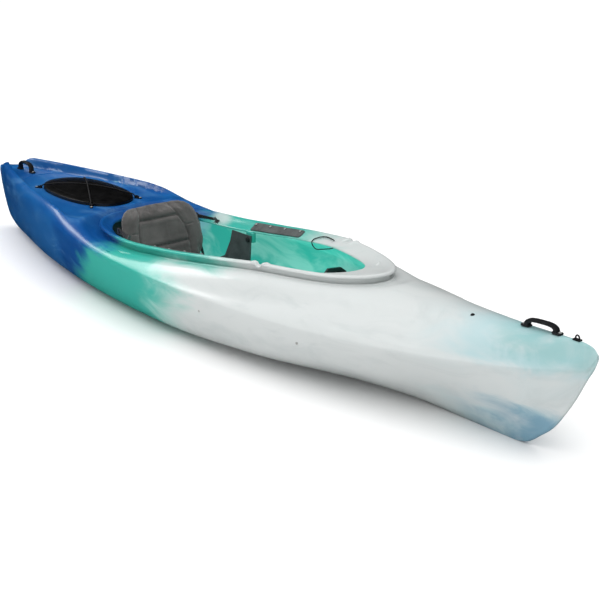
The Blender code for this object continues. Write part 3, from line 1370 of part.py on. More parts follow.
def build_straps(kayak):
    """A buckle on each side of the backrest, an anchor on the flange and the strap between them."""
    v = (BUCKLE_Z - BACKREST_FOOT - FRAME_INSET) / (BACKREST_HEIGHT - 2 * FRAME_INSET)
    edge = plate_point(TAB_SHARE, v)
    rear, front = edge.x - 0.006, edge.x + 0.018
    outer, low, high = BUCKLE_Y + BUCKLE_THICKNESS, BUCKLE_Z - BUCKLE_HALF, BUCKLE_Z + BUCKLE_HALF
    buckle = box_mesh((rear, BUCKLE_Y, low), (front, outer, high))
    buckle = kayak.part("recline_buckle_port", on_hinge(buckle), kayak.buckle_steel)
    bar, over = 0.003, BUCKLE_THICKNESS
    slot = box_mesh((front - 4 * bar, BUCKLE_Y - over, low + bar), (front - bar, outer + over, high - bar))
    kayak.cut(buckle, [on_hinge(slot)])
    applied(buckle)
    buckle.matrix_world = hinge_origin()
    kayak.starboard_copy(buckle, "recline_buckle_starboard")
    spot = kayak.flange_point(ANCHOR_AT, ANCHOR_SHARE)
    normal = kayak.flange_normal(ANCHOR_AT, ANCHOR_SHARE)
    place = frame_at(spot, (1, 0, 0), normal)
    base = box_mesh((-0.010, -0.008, ANCHOR_GAP), (0.010, 0.008, 0.0045))
    anchor = kayak.part("strap_anchor_port", moved(base, place), kayak.buckle_steel)
    lug = moved(box_mesh((-0.003, -0.005, 0.002), (0.003, 0.005, 0.024)), place)
    kayak.merge(anchor, [lug])
    applied(anchor)
    kayak.starboard_copy(anchor, "strap_anchor_starboard")
    end = place @ Vector((-0.003 - GAP, 0, 0.014))
    across = (place.to_3x3() @ Vector((0, 0, 1))).normalized()
    start = Vector((front + GAP, BUCKLE_Y + BUCKLE_THICKNESS / 2, BUCKLE_Z))
    bm = bmesh.new()
    rows = []
    for share in (0, 0.12, 0.4, 0.6, 0.88, 1):
        middle = start.lerp(end, share)
        width = Vector((0, 0, 1)).lerp(across, share).normalized() * STRAP_WIDTH / 2
        rows.append([bm.verts.new(middle - width), bm.verts.new(middle + width)])
    for a, b in zip(rows, rows[1:]):
        bm.faces.new((a[0], b[0], b[1], a[1]))
    strap = kayak.part("recline_strap_port", bm, kayak.webbing)
    ribbon = strap.modifiers.new("Solidify", "SOLIDIFY")
    ribbon.thickness = STRAP_THICKNESS
    ribbon.offset = 0
    kayak.starboard_copy(applied(strap), "recline_strap_starboard")


# Coaming fittings


def build_thigh_pads(kayak):
    """A pad on each side of the coaming's flange, fitted to its slope, with four screws."""
    places = [PAD_REAR, -0.06, 0.0, 0.06, 0.13, PAD_FRONT]
    places = sorted(set(places) | {rows[row].x for rows in kayak.coaming.values() for row in (4, 5, 6)
                                   if PAD_REAR < rows[row].x < PAD_FRONT})
    rings = []
    for x in places:
        ring = []
        for share, lift in ((0.14, 0), (0.5, 0), (0.9, 0), (0.9, 1), (0.5, 1), (0.14, 1)):
            gap = THIGH_PAD_GAP + lift * THIGH_PAD_THICKNESS
            ring.append(kayak.flange_point(x, share) + kayak.flange_normal(x, share) * gap)
        rings.append(ring)
    pad = kayak.part("thigh_pad_port", ring_solid(rings), kayak.black)
    holes = []
    for number, x in enumerate(THIGH_SCREWS, 1):
        normal = kayak.flange_normal(x, 0.32)
        seat = kayak.flange_point(x, 0.32) + normal * (THIGH_PAD_GAP + THIGH_PAD_THICKNESS + GAP)
        holes.append(kayak.screw_hole(seat, normal, 0.016))
        for name, side in (("port", 1), ("starboard", -1)):
            flip = Vector((1, side, 1))
            kayak.screw(f"thigh_pad_screw_{name}_{number}", seat * flip, normal * flip, 0.016)
    kayak.cut(pad, [joined(holes)])
    kayak.starboard_copy(smooth_shaded(applied(pad), 30), "thigh_pad_starboard")


def build_keeper(kayak):
    """The thin cord loop that keeps the paddle: from the port flange, over its edge and back under it."""
    cord = KEEPER_DIAMETER / 2
    lift = cord + 6 * GAP
    hole = kayak.flange_point(*KEEPER_HOLE)
    out = kayak.flange_normal(*KEEPER_HOLE)
    route = [hole + out * 7 * GAP, hole + out * 0.007 + Vector((-0.003, 0, 0))]
    for x, share in KEEPER_OVER:
        route.append(kayak.flange_point(x, share) + kayak.flange_normal(x, share) * lift)
    edge = kayak.flange_point(0.314, 1)
    route.append(edge + Vector((0, -0.0045, 0.0)))
    for x, drop in KEEPER_UNDER:
        edge = kayak.flange_point(x, 1)
        route.append(edge + Vector((0, -0.0045 + 0.22 * max(0, x - 0.352), -drop)))
    foot = kayak.coaming_row(0.445, 8).lerp(kayak.coaming_row(0.445, 7), 0.55)
    route += [foot - out * 0.008 - Vector((0.004, 0, 0)), foot - out * 7 * GAP]
    points = smooth_route(route, KEEPER_DIAMETER * 2.8)
    kayak.tube("paddle_keeper", points, cord, kayak.cord)


def smooth_route(points, spacing):
    """Even points along a smooth curve through a route's points."""
    ends = [points[0] * 2 - points[1]] + list(points) + [points[-1] * 2 - points[-2]]
    fine = []
    for i in range(1, len(ends) - 2):
        a, b, c, d = ends[i - 1:i + 3]
        for t in np.linspace(0, 1, 16, endpoint=False):
            bend = (2 * a - 5 * b + 4 * c - d) * t**2 + (3 * b - a - 3 * c + d) * t**3
            fine.append(0.5 * (2 * b + (c - a) * t + bend))
    fine.append(points[-1])
    lengths = np.cumsum([0] + [(b - a).length for a, b in zip(fine, fine[1:])])
    count = max(2, int(round(lengths[-1] / spacing)))
    places = np.linspace(0, lengths[-1], count + 1)
    return [Vector([np.interp(place, lengths, [p[k] for p in fine]) for k in range(3)]) for place in places]


# Foot braces


def rail_frame(kayak):
    """The port rail's frame, origin at its rear screw, X forward along it and Y out, and its length."""
    half = RAIL_THICKNESS / 2
    ends = []
    for x in (RAIL_REAR, RAIL_FRONT):
        y = kayak.half_width(kayak.inside, x, RAIL_HEIGHT) - RAIL_STANDOFF - half
        ends.append(Vector((x, y, RAIL_HEIGHT)))
    return frame_at(ends[0], ends[1] - ends[0]), (ends[1] - ends[0]).length


def build_rails(kayak):
    """Toothed rails inside the hull's sides, each held off the wall by two bosses and two screws."""
    frame, length = rail_frame(kayak)
    half, depth = RAIL_THICKNESS / 2, RAIL_DEPTH / 2
    outline = [(length + RAIL_END, depth), (-RAIL_END, depth), (-RAIL_END, -depth)]
    pedal = pedal_place(kayak)
    first = math.ceil((TOOTH_MARGIN - pedal) / TOOTH_PITCH)
    last = math.floor((length - TOOTH_MARGIN - pedal) / TOOTH_PITCH)
    for k in range(first, last + 1):
        x = pedal + k * TOOTH_PITCH
        mouth, root = TOOTH_MOUTH / 2, TOOTH_ROOT / 2
        outline += [(x - mouth, -depth), (x - root, TOOTH_DEPTH - depth)]
        outline += [(x + root, TOOTH_DEPTH - depth), (x + mouth, -depth)]
    outline.append((length + RAIL_END, -depth))
    rail = kayak.part("foot_rail_port", outline_mesh(outline, -half, half), kayak.rail_grey)
    bosses, holes = [], []
    for x in (0, length):
        reach = []
        for dx in (-BOSS_RADIUS, BOSS_RADIUS):
            for dz in (-BOSS_RADIUS, BOSS_RADIUS):
                spot = frame @ Vector((x + dx, 0, dz))
                reach.append(kayak.half_width(kayak.inside, spot.x, spot.z) - spot.y)
        end = (min(reach) * frame.to_3x3().col[1].y) - GAP
        bosses.append(rod_mesh((x, half - 0.001, 0), (x, end, 0), BOSS_RADIUS, 12))
        hole = SCREW_SHANK_RADIUS + SCREW_CLEARANCE
        holes.append(rod_mesh((x, -RAIL_DEPTH, 0), (x, 2 * RAIL_DEPTH, 0), hole, HOLE_SIDES))
    kayak.merge(rail, [joined(bosses)])
    kayak.cut(rail, [joined(holes)])
    applied(rail)
    rail.data.transform(frame)
    kayak.starboard_copy(rail, "foot_rail_starboard")
    number = 0
    for x in (0, length):
        number += 1
        spot = frame @ Vector((x, 0, 0))
        axis = frame.to_3x3().col[1].normalized()
        seats = []
        for dx in (-SCREW_HEAD_RADIUS, SCREW_HEAD_RADIUS):
            for dz in (-SCREW_HEAD_RADIUS, SCREW_HEAD_RADIUS):
                seats.append((kayak.half_width(kayak.grid, spot.x + dx, spot.z + dz) - spot.y) * axis.y)
        seat = spot + axis * max(seats)
        shank = max(seats) + half
        for name, side in (("port", 1), ("starboard", -1)):
            flip = Vector((1, side, 1))
            kayak.screw(f"rail_screw_{name}_{number}", seat * flip, axis * flip, shank)


def pedal_place(kayak):
    """How far along the rail the pedal stands at rest."""
    frame, length = rail_frame(kayak)
    return (PEDAL_AT - RAIL_REAR) / frame.to_3x3().col[0].x


def build_pedals(kayak):
    """A pedal that slides on each rail, and the lever under it whose pawl drops clear of the teeth."""
    frame, length = rail_frame(kayak)
    half, depth = RAIL_THICKNESS / 2, RAIL_DEPTH / 2
    clear, wall = SLIDE_CLEARANCE, CARRIAGE_WALL
    inner, outer = -half - clear - wall, half + clear + wall
    bottom, top = -depth - clear - wall, depth + clear + wall
    reach = CARRIAGE_LENGTH / 2
    pivot = Vector((LEVER_PIVOT, 0, bottom - LEVER_DROP))
    sink = CUT_REACH
    plate = [
        (inner + sink, -0.016), (inner + sink, 0.032), (-0.030, 0.050), (-0.088, 0.054),
        (-PEDAL_REACH, 0.040), (-PEDAL_REACH, -0.036), (-0.085, -0.048), (-0.042, -0.040),
    ]
    block = box_mesh((-reach, inner, bottom), (reach, outer, top))
    body = kayak.part("foot_pedal_port", block, kayak.black)
    adds = [across_mesh(plate, -reach, -reach + PEDAL_THICKNESS)]
    face = -reach + PEDAL_THICKNESS
    rib = PEDAL_RIB / 2
    for y in PEDAL_RIBS:
        adds.append(box_mesh((face - sink, y - rib, -0.030), (face + PEDAL_RIB_DEPTH, y + rib, 0.036)))
    spine = box_mesh((face - sink, -PEDAL_REACH + 0.010, -rib), (face + PEDAL_RIB_DEPTH, inner + sink, rib))
    adds.append(spine)
    side = LEVER_HALF_WIDTH + LEVER_CLEARANCE
    for y in (side, -side - CHEEK_WALL):
        low, high = pivot.x - CHEEK_HALF, pivot.x + CHEEK_HALF
        adds.append(box_mesh((low, y, pivot.z - 0.005), (high, y + CHEEK_WALL, bottom + sink)))
    for bm in adds:
        kayak.merge(body, [bm])
    channel = Vector((reach + RAIL_THICKNESS, half + clear, depth + clear))
    kayak.cut(body, [box_mesh(-channel, channel)])
    kayak.cut(body, [box_mesh((WINDOW_REAR, -side, bottom - depth), (WINDOW_FRONT, side, 0))])
    ends = [(pivot.x, y, pivot.z) for y in (-RAIL_DEPTH, RAIL_DEPTH)]
    kayak.cut(body, [rod_mesh(*ends, LEVER_PIN_RADIUS + GAP, 12)])
    applied(body)
    shift = Matrix.Translation((pedal_place(kayak), 0, 0))
    place = frame @ shift
    place_mesh(body, place, place.translation)
    kayak.starboard_copy(body, "foot_pedal_starboard")
    tip = -depth - 2 * GAP
    arm = pivot.z
    pawl = PAWL_HALF
    outline = [
        (pivot.x + 0.005, arm - 0.001), (pivot.x + 0.003, arm + 0.004), (2 * pawl, arm + 0.004),
        (pawl, arm + 0.005), (pawl, tip), (-pawl, tip), (-pawl, arm + 0.005),
        (-0.008, arm + 0.003), (-0.030, arm - 0.002), (-LEVER_TAIL, arm - 0.010),
        (-LEVER_TAIL, arm - 0.014), (-0.030, arm - 0.006), (-0.006, arm - 0.003),
        (pivot.x - 0.004, arm - 0.0045), (pivot.x + 0.003, arm - 0.0045),
    ]
    bar = outline_mesh(outline, -LEVER_HALF_WIDTH, LEVER_HALF_WIDTH)
    lever = kayak.part("pedal_lever_port", bar, kayak.black)
    pin = LEVER_HALF_WIDTH + 0.0035
    kayak.merge(lever, [rod_mesh((pivot.x, -pin, pivot.z), (pivot.x, pin, pivot.z), LEVER_PIN_RADIUS, 12)])
    applied(lever)
    place_mesh(lever, place, place @ pivot)
    kayak.starboard_copy(lever, "pedal_lever_starboard")


def across_mesh(points, low, high):
    """A flat outline in y and z with a thickness along x."""
    bm = outline_mesh(points, low, high)
    for vert in bm.verts:
        vert.co = Vector((vert.co.y, vert.co.x, vert.co.z))
    bmesh.ops.recalc_face_normals(bm, faces=bm.faces)
    return bm


def place_mesh(obj, matrix, origin):
    """Turns an object's mesh into place and leaves its origin at a point."""
    obj.data.transform(Matrix.Translation(-origin) @ matrix)
    obj.matrix_world = Matrix.Translation(origin)


# Deck fittings


def build_handle(kayak, name, rear, front, rise):
    """A carrying handle: an arch with a thicker grip between two screwed feet."""
    ground = kayak.ridge
    middle, half = (rear + front) / 2, (front - rear) / 2 - HANDLE_LANDING
    height = rise - HANDLE_TUBE_RADIUS * HANDLE_GRIP - HANDLE_FOOT / 2
    points, thickness = [], []
    for angle in np.linspace(math.pi, 0, 11):
        c, s = math.cos(angle), math.sin(angle)
        x = middle + math.copysign(half * abs(c) ** 0.7, c)
        slope = (ground(front) - ground(rear)) / (front - rear)
        z = ground(middle) + slope * (x - middle) + HANDLE_FOOT / 2 + height * max(s, 0.0) ** 0.7
        points.append(Vector((x, 0, z)))
        thickness.append(1 + (HANDLE_GRIP - 1) * float(smoothstep(0.75, 0.95, s)))
    handle = None
    for number, (x, out) in enumerate(((rear, -1), (front, 1)), 1):
        base = max(ground(x - HANDLE_FOOT_LENGTH / 2), ground(x), ground(x + HANDLE_FOOT_LENGTH / 2)) + GAP
        low = (x - HANDLE_FOOT_LENGTH / 2, -HANDLE_FOOT_WIDTH / 2, base)
        high = (x + HANDLE_FOOT_LENGTH / 2, HANDLE_FOOT_WIDTH / 2, base + HANDLE_FOOT)
        if handle is None:
            handle = kayak.part(name, box_mesh(low, high), kayak.black)
        else:
            kayak.merge(handle, [box_mesh(low, high)])
        seat = Vector((x + out * HANDLE_SCREW, 0, base + HANDLE_FOOT))
        kayak.screw(f"{name}_screw_{number}", seat, (0, 0, 1), 0.018)
        kayak.handle_holes.append(kayak.screw_hole(seat, (0, 0, 1), 0.018))
    kayak.merge(handle, [kayak.tube_mesh(points, HANDLE_TUBE_RADIUS, thickness)])
    kayak.cut(handle, [joined(kayak.handle_holes)])
    kayak.handle_holes = []
    smooth_shaded(handle, 50)


def build_deck_fittings(kayak):
    """The bow eyelet, a small button on the foredeck and the drain plug in the stern's side."""
    ground = max(kayak.ridge(EYELET_AT - EYELET_FOOT), kayak.ridge(EYELET_AT + EYELET_FOOT)) + GAP
    foot = Vector((EYELET_FOOT, EYELET_FOOT_WIDTH / 2, 0))
    middle = Vector((EYELET_AT, 0, ground))
    eye = box_mesh(middle - foot, middle + foot + Vector((0, 0, EYELET_FOOT_HEIGHT)))
    eye = kayak.part("bow_eyelet", eye, kayak.black)
    sink = Vector((0, 0, CUT_REACH))
    crown = middle + Vector((0, 0, EYELET_FOOT_HEIGHT)) - sink
    arch = [crown + Vector((EYELET_RADIUS * math.cos(a), 0, EYELET_RISE * math.sin(a)))
            for a in np.linspace(math.pi, 0, 9)]
    arch = [arch[0] - sink] + arch + [arch[-1] - sink]
    kayak.merge(eye, [kayak.tube_mesh(arch, EYELET_TUBE)])
    smooth_shaded(eye, 50)
    spot, axis = kayak.deck_spot(DECK_FITTING_AT, DECK_FITTING_ACROSS)
    radius = DECK_FITTING_RADIUS
    stem = 0.4 * radius
    profile = (
        (0, 0.004), (0.6 * radius, 0.0036), (radius, 0.0012), (radius, 0),
        (stem, 0), (stem, -0.003), (0, -0.003),
    )
    kayak.turned("deck_fitting", profile, kayak.black, spot + axis * 2 * GAP, axis, 10)
    reach = axis * 3 * radius
    kayak.hull_cuts.append(rod_mesh(spot - reach, spot + reach, stem + SCREW_CLEARANCE, 12))
    outer = kayak.half_width(kayak.grid, DRAIN_AT, DRAIN_Z)
    ahead = kayak.half_width(kayak.grid, DRAIN_AT + 0.01, DRAIN_Z) - outer
    above = kayak.half_width(kayak.grid, DRAIN_AT, DRAIN_Z + 0.01) - outer
    axis = Vector((-ahead, 0.01, -above)).normalized()
    spot = Vector((DRAIN_AT, outer, DRAIN_Z)) + axis * 2 * GAP
    radius = DRAIN_RADIUS
    stem = 0.62 * radius
    profile = (
        (0, 0.0035), (0.35 * radius, 0.0035), (0.4 * radius, 0.0055), (0.75 * radius, 0.005),
        (radius, 0.0022), (radius, 0), (stem, 0), (stem, -0.009), (0, -0.009),
    )
    kayak.turned("drain_plug", profile, kayak.black, spot, axis, 14)
    reach = axis * 2 * radius
    kayak.hull_cuts.append(rod_mesh(spot - reach, spot + reach, stem + PIN_CLEARANCE, 16))


def build():
    kayak = Kayak()
    hull, cavity = build_hull(kayak)
    build_foam(kayak, cavity)
    build_hatch(kayak)
    build_cords(kayak)
    build_cleats(kayak)
    floor = build_seat(kayak)
    build_seat_bolts(kayak)
    build_cushion(kayak, floor)
    build_backrest_frame(kayak)
    build_backrest_pad(kayak)
    build_hinge_pins(kayak)
    build_straps(kayak)
    build_thigh_pads(kayak)
    build_keeper(kayak)
    build_rails(kayak)
    build_pedals(kayak)
    build_handle(kayak, "bow_handle", BOW_HANDLE_REAR, BOW_HANDLE_FRONT, HANDLE_RISE)
    build_handle(kayak, "stern_handle", STERN_HANDLE_REAR, STERN_HANDLE_FRONT, STERN_HANDLE_RISE)
    build_deck_fittings(kayak)
    finish_hull(kayak, hull)


if __name__ == "__main__":
    for old in list(bpy.data.objects):
        bpy.data.objects.remove(old)
    build()
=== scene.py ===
"""Looks of the recreational kayak. The hull's lines are those of the CAD source, sampled finely."""

import json
import math

import bmesh
import bpy
import numpy as np
from mathutils import Matrix, Vector

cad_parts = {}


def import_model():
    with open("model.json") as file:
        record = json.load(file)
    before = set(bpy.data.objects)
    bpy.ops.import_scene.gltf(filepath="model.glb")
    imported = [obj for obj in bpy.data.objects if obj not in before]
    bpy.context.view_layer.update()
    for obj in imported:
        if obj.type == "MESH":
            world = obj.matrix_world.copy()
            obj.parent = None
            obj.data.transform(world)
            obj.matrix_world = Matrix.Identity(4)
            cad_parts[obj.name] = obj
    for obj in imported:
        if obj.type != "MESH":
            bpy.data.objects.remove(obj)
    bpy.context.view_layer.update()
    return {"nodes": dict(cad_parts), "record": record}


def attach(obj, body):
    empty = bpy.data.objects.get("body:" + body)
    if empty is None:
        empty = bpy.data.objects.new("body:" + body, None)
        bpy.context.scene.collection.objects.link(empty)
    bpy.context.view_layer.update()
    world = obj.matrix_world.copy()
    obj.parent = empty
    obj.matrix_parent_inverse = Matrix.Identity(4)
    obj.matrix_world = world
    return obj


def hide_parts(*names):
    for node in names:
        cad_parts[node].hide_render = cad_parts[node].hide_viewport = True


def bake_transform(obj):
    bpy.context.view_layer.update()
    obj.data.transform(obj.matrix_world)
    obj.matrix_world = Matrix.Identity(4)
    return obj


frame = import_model()
nodes = frame["nodes"]
scene = bpy.context.scene
UP = Vector((0, 0, 1))


# Helpers for Blender's objects and their settings


def assign(target, **values):
    """Sets properties of a Blender object, and gives it back."""
    for name, value in values.items():
        setattr(target, name, value)
    return target


def linked(name, data):
    """A new object in the scene."""
    obj = bpy.data.objects.new(name, data)
    scene.collection.objects.link(obj)
    return obj


def mesh_object(name, bm):
    """A new object with the mesh built in bm, which is freed."""
    mesh = bpy.data.meshes.new(name)
    bm.to_mesh(mesh)
    bm.free()
    return linked(name, mesh)


def new_mesh(name, bm, material, body):
    """A piece made from bm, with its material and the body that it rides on."""
    obj = mesh_object(name, bm)
    obj.data.materials.append(material)
    if body:
        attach(obj, body)
    return obj


def fill(tree, sockets, values):
    """Links or sets a node's sockets by name or number."""
    for name, value in values.items():
        socket = sockets[name]
        if hasattr(value, "is_output"):
            tree.links.new(value, socket)
        else:
            socket.default_value = (*value, 1) if socket.type == "RGBA" else value


def add_node(tree, kind, values, **settings):
    """The outputs of a new node with its properties and sockets set."""
    made = assign(tree.nodes.new("ShaderNode" + kind), **settings)
    fill(tree, made.inputs, values)
    return made.outputs


# Camera, solved from the photograph

CAMERA_PLACE = (4.1190, -2.9430, 1.7651)
CAMERA_AZIMUTH, CAMERA_ELEVATION, CAMERA_ROLL = 51.0996, 18.6826, -0.5382
FOCAL_PIXELS, FRAME_PIXELS, SENSOR, CLIP_END = 1356.78, 600, 36.0, 100


def make_camera():
    azimuth, elevation, roll = (math.radians(a) for a in (CAMERA_AZIMUTH, CAMERA_ELEVATION, CAMERA_ROLL))
    level = math.cos(elevation)
    back = Vector((math.sin(azimuth) * level, -math.cos(azimuth) * level, math.sin(elevation)))
    right = (-back).cross(UP).normalized()
    up = right.cross(-back)
    turned_right = right * math.cos(roll) + up * math.sin(roll)
    turned_up = up * math.cos(roll) - right * math.sin(roll)
    lens = SENSOR * FOCAL_PIXELS / FRAME_PIXELS
    data = assign(bpy.data.cameras.new("camera"), sensor_width=SENSOR, sensor_fit="HORIZONTAL", lens=lens)
    data.clip_end = CLIP_END
    scene.camera = linked("camera", data)
    turn = Matrix((turned_right, turned_up, back)).transposed().to_4x4()
    scene.camera.matrix_world = Matrix.Translation(CAMERA_PLACE) @ turn


# Shader helpers


class Shader:
    """A Principled material and short calls to build its nodes."""

    def __init__(self, name, colour=(0.5, 0.5, 0.5), roughness=0.5, metallic=0.0):
        self.material = bpy.data.materials.new(name)
        self.material.use_nodes = True
        self.tree = self.material.node_tree
        self.place = self.tree.nodes.new("ShaderNodeTexCoord").outputs["Object"]
        self.set({"Base Color": colour, "Roughness": roughness, "Metallic": metallic})

    def set(self, values):
        fill(self.tree, self.tree.nodes["Principled BSDF"].inputs, values)

    def node(self, kind, values, **settings):
        return add_node(self.tree, kind, values, **settings)

    def math(self, operation, *values):
        """The operation on the first two values, then on its result and the next value."""
        total = values[0]
        for value in values[1:]:
            total = self.node("Math", {0: total, 1: value}, operation=operation)[0]
        return total

    def product(self, *values):
        return self.math("MULTIPLY", *values)

    def vector(self, operation, a, b):
        outputs = self.node("VectorMath", {0: a, 1: b}, operation=operation)
        return outputs["Value" if operation == "DISTANCE" else 0]

    def scaled(self, place, scale):
        return self.vector("MULTIPLY", place, scale)

    def split(self, place):
        return self.node("SeparateXYZ", {0: place})

    def noise(self, place, scale, detail=3, roughness=0.5, distortion=0, output="Fac"):
        values = {"Vector": place, "Scale": scale, "Detail": detail, "Roughness": roughness, "Distortion": distortion}
        return self.node("TexNoise", values)[output]

    def cells(self, place, scale):
        return self.node("TexVoronoi", {"Vector": place, "Scale": scale})["Distance"]

    def wave(self, place, scale, direction, distortion):
        values = {"Vector": place, "Scale": scale, "Distortion": distortion, "Detail": 1}
        return self.node("TexWave", values, bands_direction=direction)["Fac"]

    def span(self, value, low, high, start=0, end=1):
        """A smooth step between two numbers, from start at low to end at high."""
        values = {"Value": value, "From Min": low, "From Max": high, "To Min": start, "To Max": end}
        return self.node("MapRange", values, interpolation_type="SMOOTHSTEP")[0]

    def spread(self, noise, start=0, end=1):
        """Runs between two numbers over the middle of a noise's range."""
        return self.span(noise, 0.3, 0.7, start, end)

    def mix(self, share, a, b):
        return self.node("Mix", {"Factor": share, 6: a, 7: b}, data_type="RGBA")[2]

    def bumps(self, *layers):
        """A normal from layers of height, distance and strength, each laid on the one before."""
        values = {}
        for layer in layers:
            values.update(zip(("Height", "Distance", "Strength"), layer))
            values["Normal"] = self.node("Bump", values)[0]
        return values["Normal"]


def shades(colour, dark, light, lift=0.0):
    """A darker and a lighter colour."""
    return tuple(c * dark for c in colour), tuple(min(1, c * light + lift) for c in colour)


# Materials

DEEP_BLUE = (0.0025, 0.070, 0.270)
OCEAN = (0.010, 0.115, 0.350)
HAZE_BLUE = (0.055, 0.190, 0.420)
WISP_BLUE = (0.110, 0.270, 0.520)
TEAL = (0.040, 0.425, 0.350)
PALE_TEAL = (0.310, 0.660, 0.590)
WHITE = (0.610, 0.640, 0.636)
COOL_GREY = (0.490, 0.535, 0.535)
PALE_CYAN = (0.445, 0.605, 0.630)
SEA_GREEN = (0.220, 0.470, 0.475)
STEEL_BLUE = (0.195, 0.350, 0.450)
# Colour of the painted glow inside the hull behind the cockpit
STERN_PAINTED_GLOW = (0.0, 0.012, 0.036)
# Middle of the painted highlight on the port flange
HIGHLIGHT_SPOT_PLACE = (-0.350, 0.376, 0.432)

# Where the colours run into each other, as from and to along the hull, outside and inside
TEAL_SPAN = (-0.47, -0.29)
PALE_SPANS, WHITE_SPANS = ((-0.12, 0.24), (0.34, 0.72)), ((0.02, 0.36), (0.62, 1.05))
RAGGED_EDGE, RAGGED_FOOT = 0.40, 0.16
PORT_SIDE, PORT_SHIFTS, FAR_FLANGE_SHIFT = (0.05, 0.26), (0.06, 0.12), -0.02
# The deck shift brings the white forward high on the deck: white marbling, and a painted highlight for the band of
# light along the near deck
LOW_SHIFT, DECK_WHITE_AND_HIGHLIGHT_SHIFT, RIM_SHIFT = (0.30, 0.04, 0, 0.26), (0.22, 0.28, 0, 0.10), (0.285, 0.318, 0, -0.24)
# The bow's colours: where each grows along the hull, then over the height
BOW_HAZE, BOW_TOP, BOW_FOOT = (1.14, 1.50), (1.36, 1.60), (1.30, 1.50)
HAZE_HIGH, HAZE_LOW = (0.245, 0.305, 0.18, 1), (0.17, 0.10)
TOP_HEIGHT, FOOT_DEPTH = (0.27, 0.35, 0, 0.75), (0.16, 0.07)
WISP_SPAN, HIGHLIGHT_SPOT_SPAN, COCKPIT_SPAN = (0.0, 0.045, 1, 0), (0.095, 0.030, 0, 0.70), (-0.74, -0.68)

# Clouds: stretch of the place; the noise's scale, detail, roughness and distortion; its span, as from, to and shares
CLOUDS = {
    "ocean": ((1, 1, 1), (2.2, 3), (0.40, 0.62)),
    "haze": ((1.0, 2.6, 2.6), (3.4, 6, 0.62, 1.1), (0.50, 0.72)),
    "patch": ((1, 1, 1), (5.0, 2), (0.52, 0.70, 0, 0.6)),
    "marbling": ((1.2, 3.4, 3.4), (3.0, 5, 0.6, 1.2), (0.36, 0.66, 0.25, 1.0)),
    "veil": ((1.0, 2.4, 2.4), (2.8, 5, 0.6, 1.6), (0.46, 0.76, 0, 0.6)),
    "blotch": ((1.0, 2.2, 2.2), (4.6, 4, 0.55, 0.7), (0.40, 0.66, 0.0, 0.62)),
    "swirl": ((1.2, 2.2, 2.6), (2.4, 4, 0.55, 0.5), (0.36, 0.62, 0.15, 0.95)),
    "dark": ((1.6, 2.4, 2.4), (3.2, 4, 0.6, 0.6), (0.32, 0.60, 0.20, 1.0)),
}


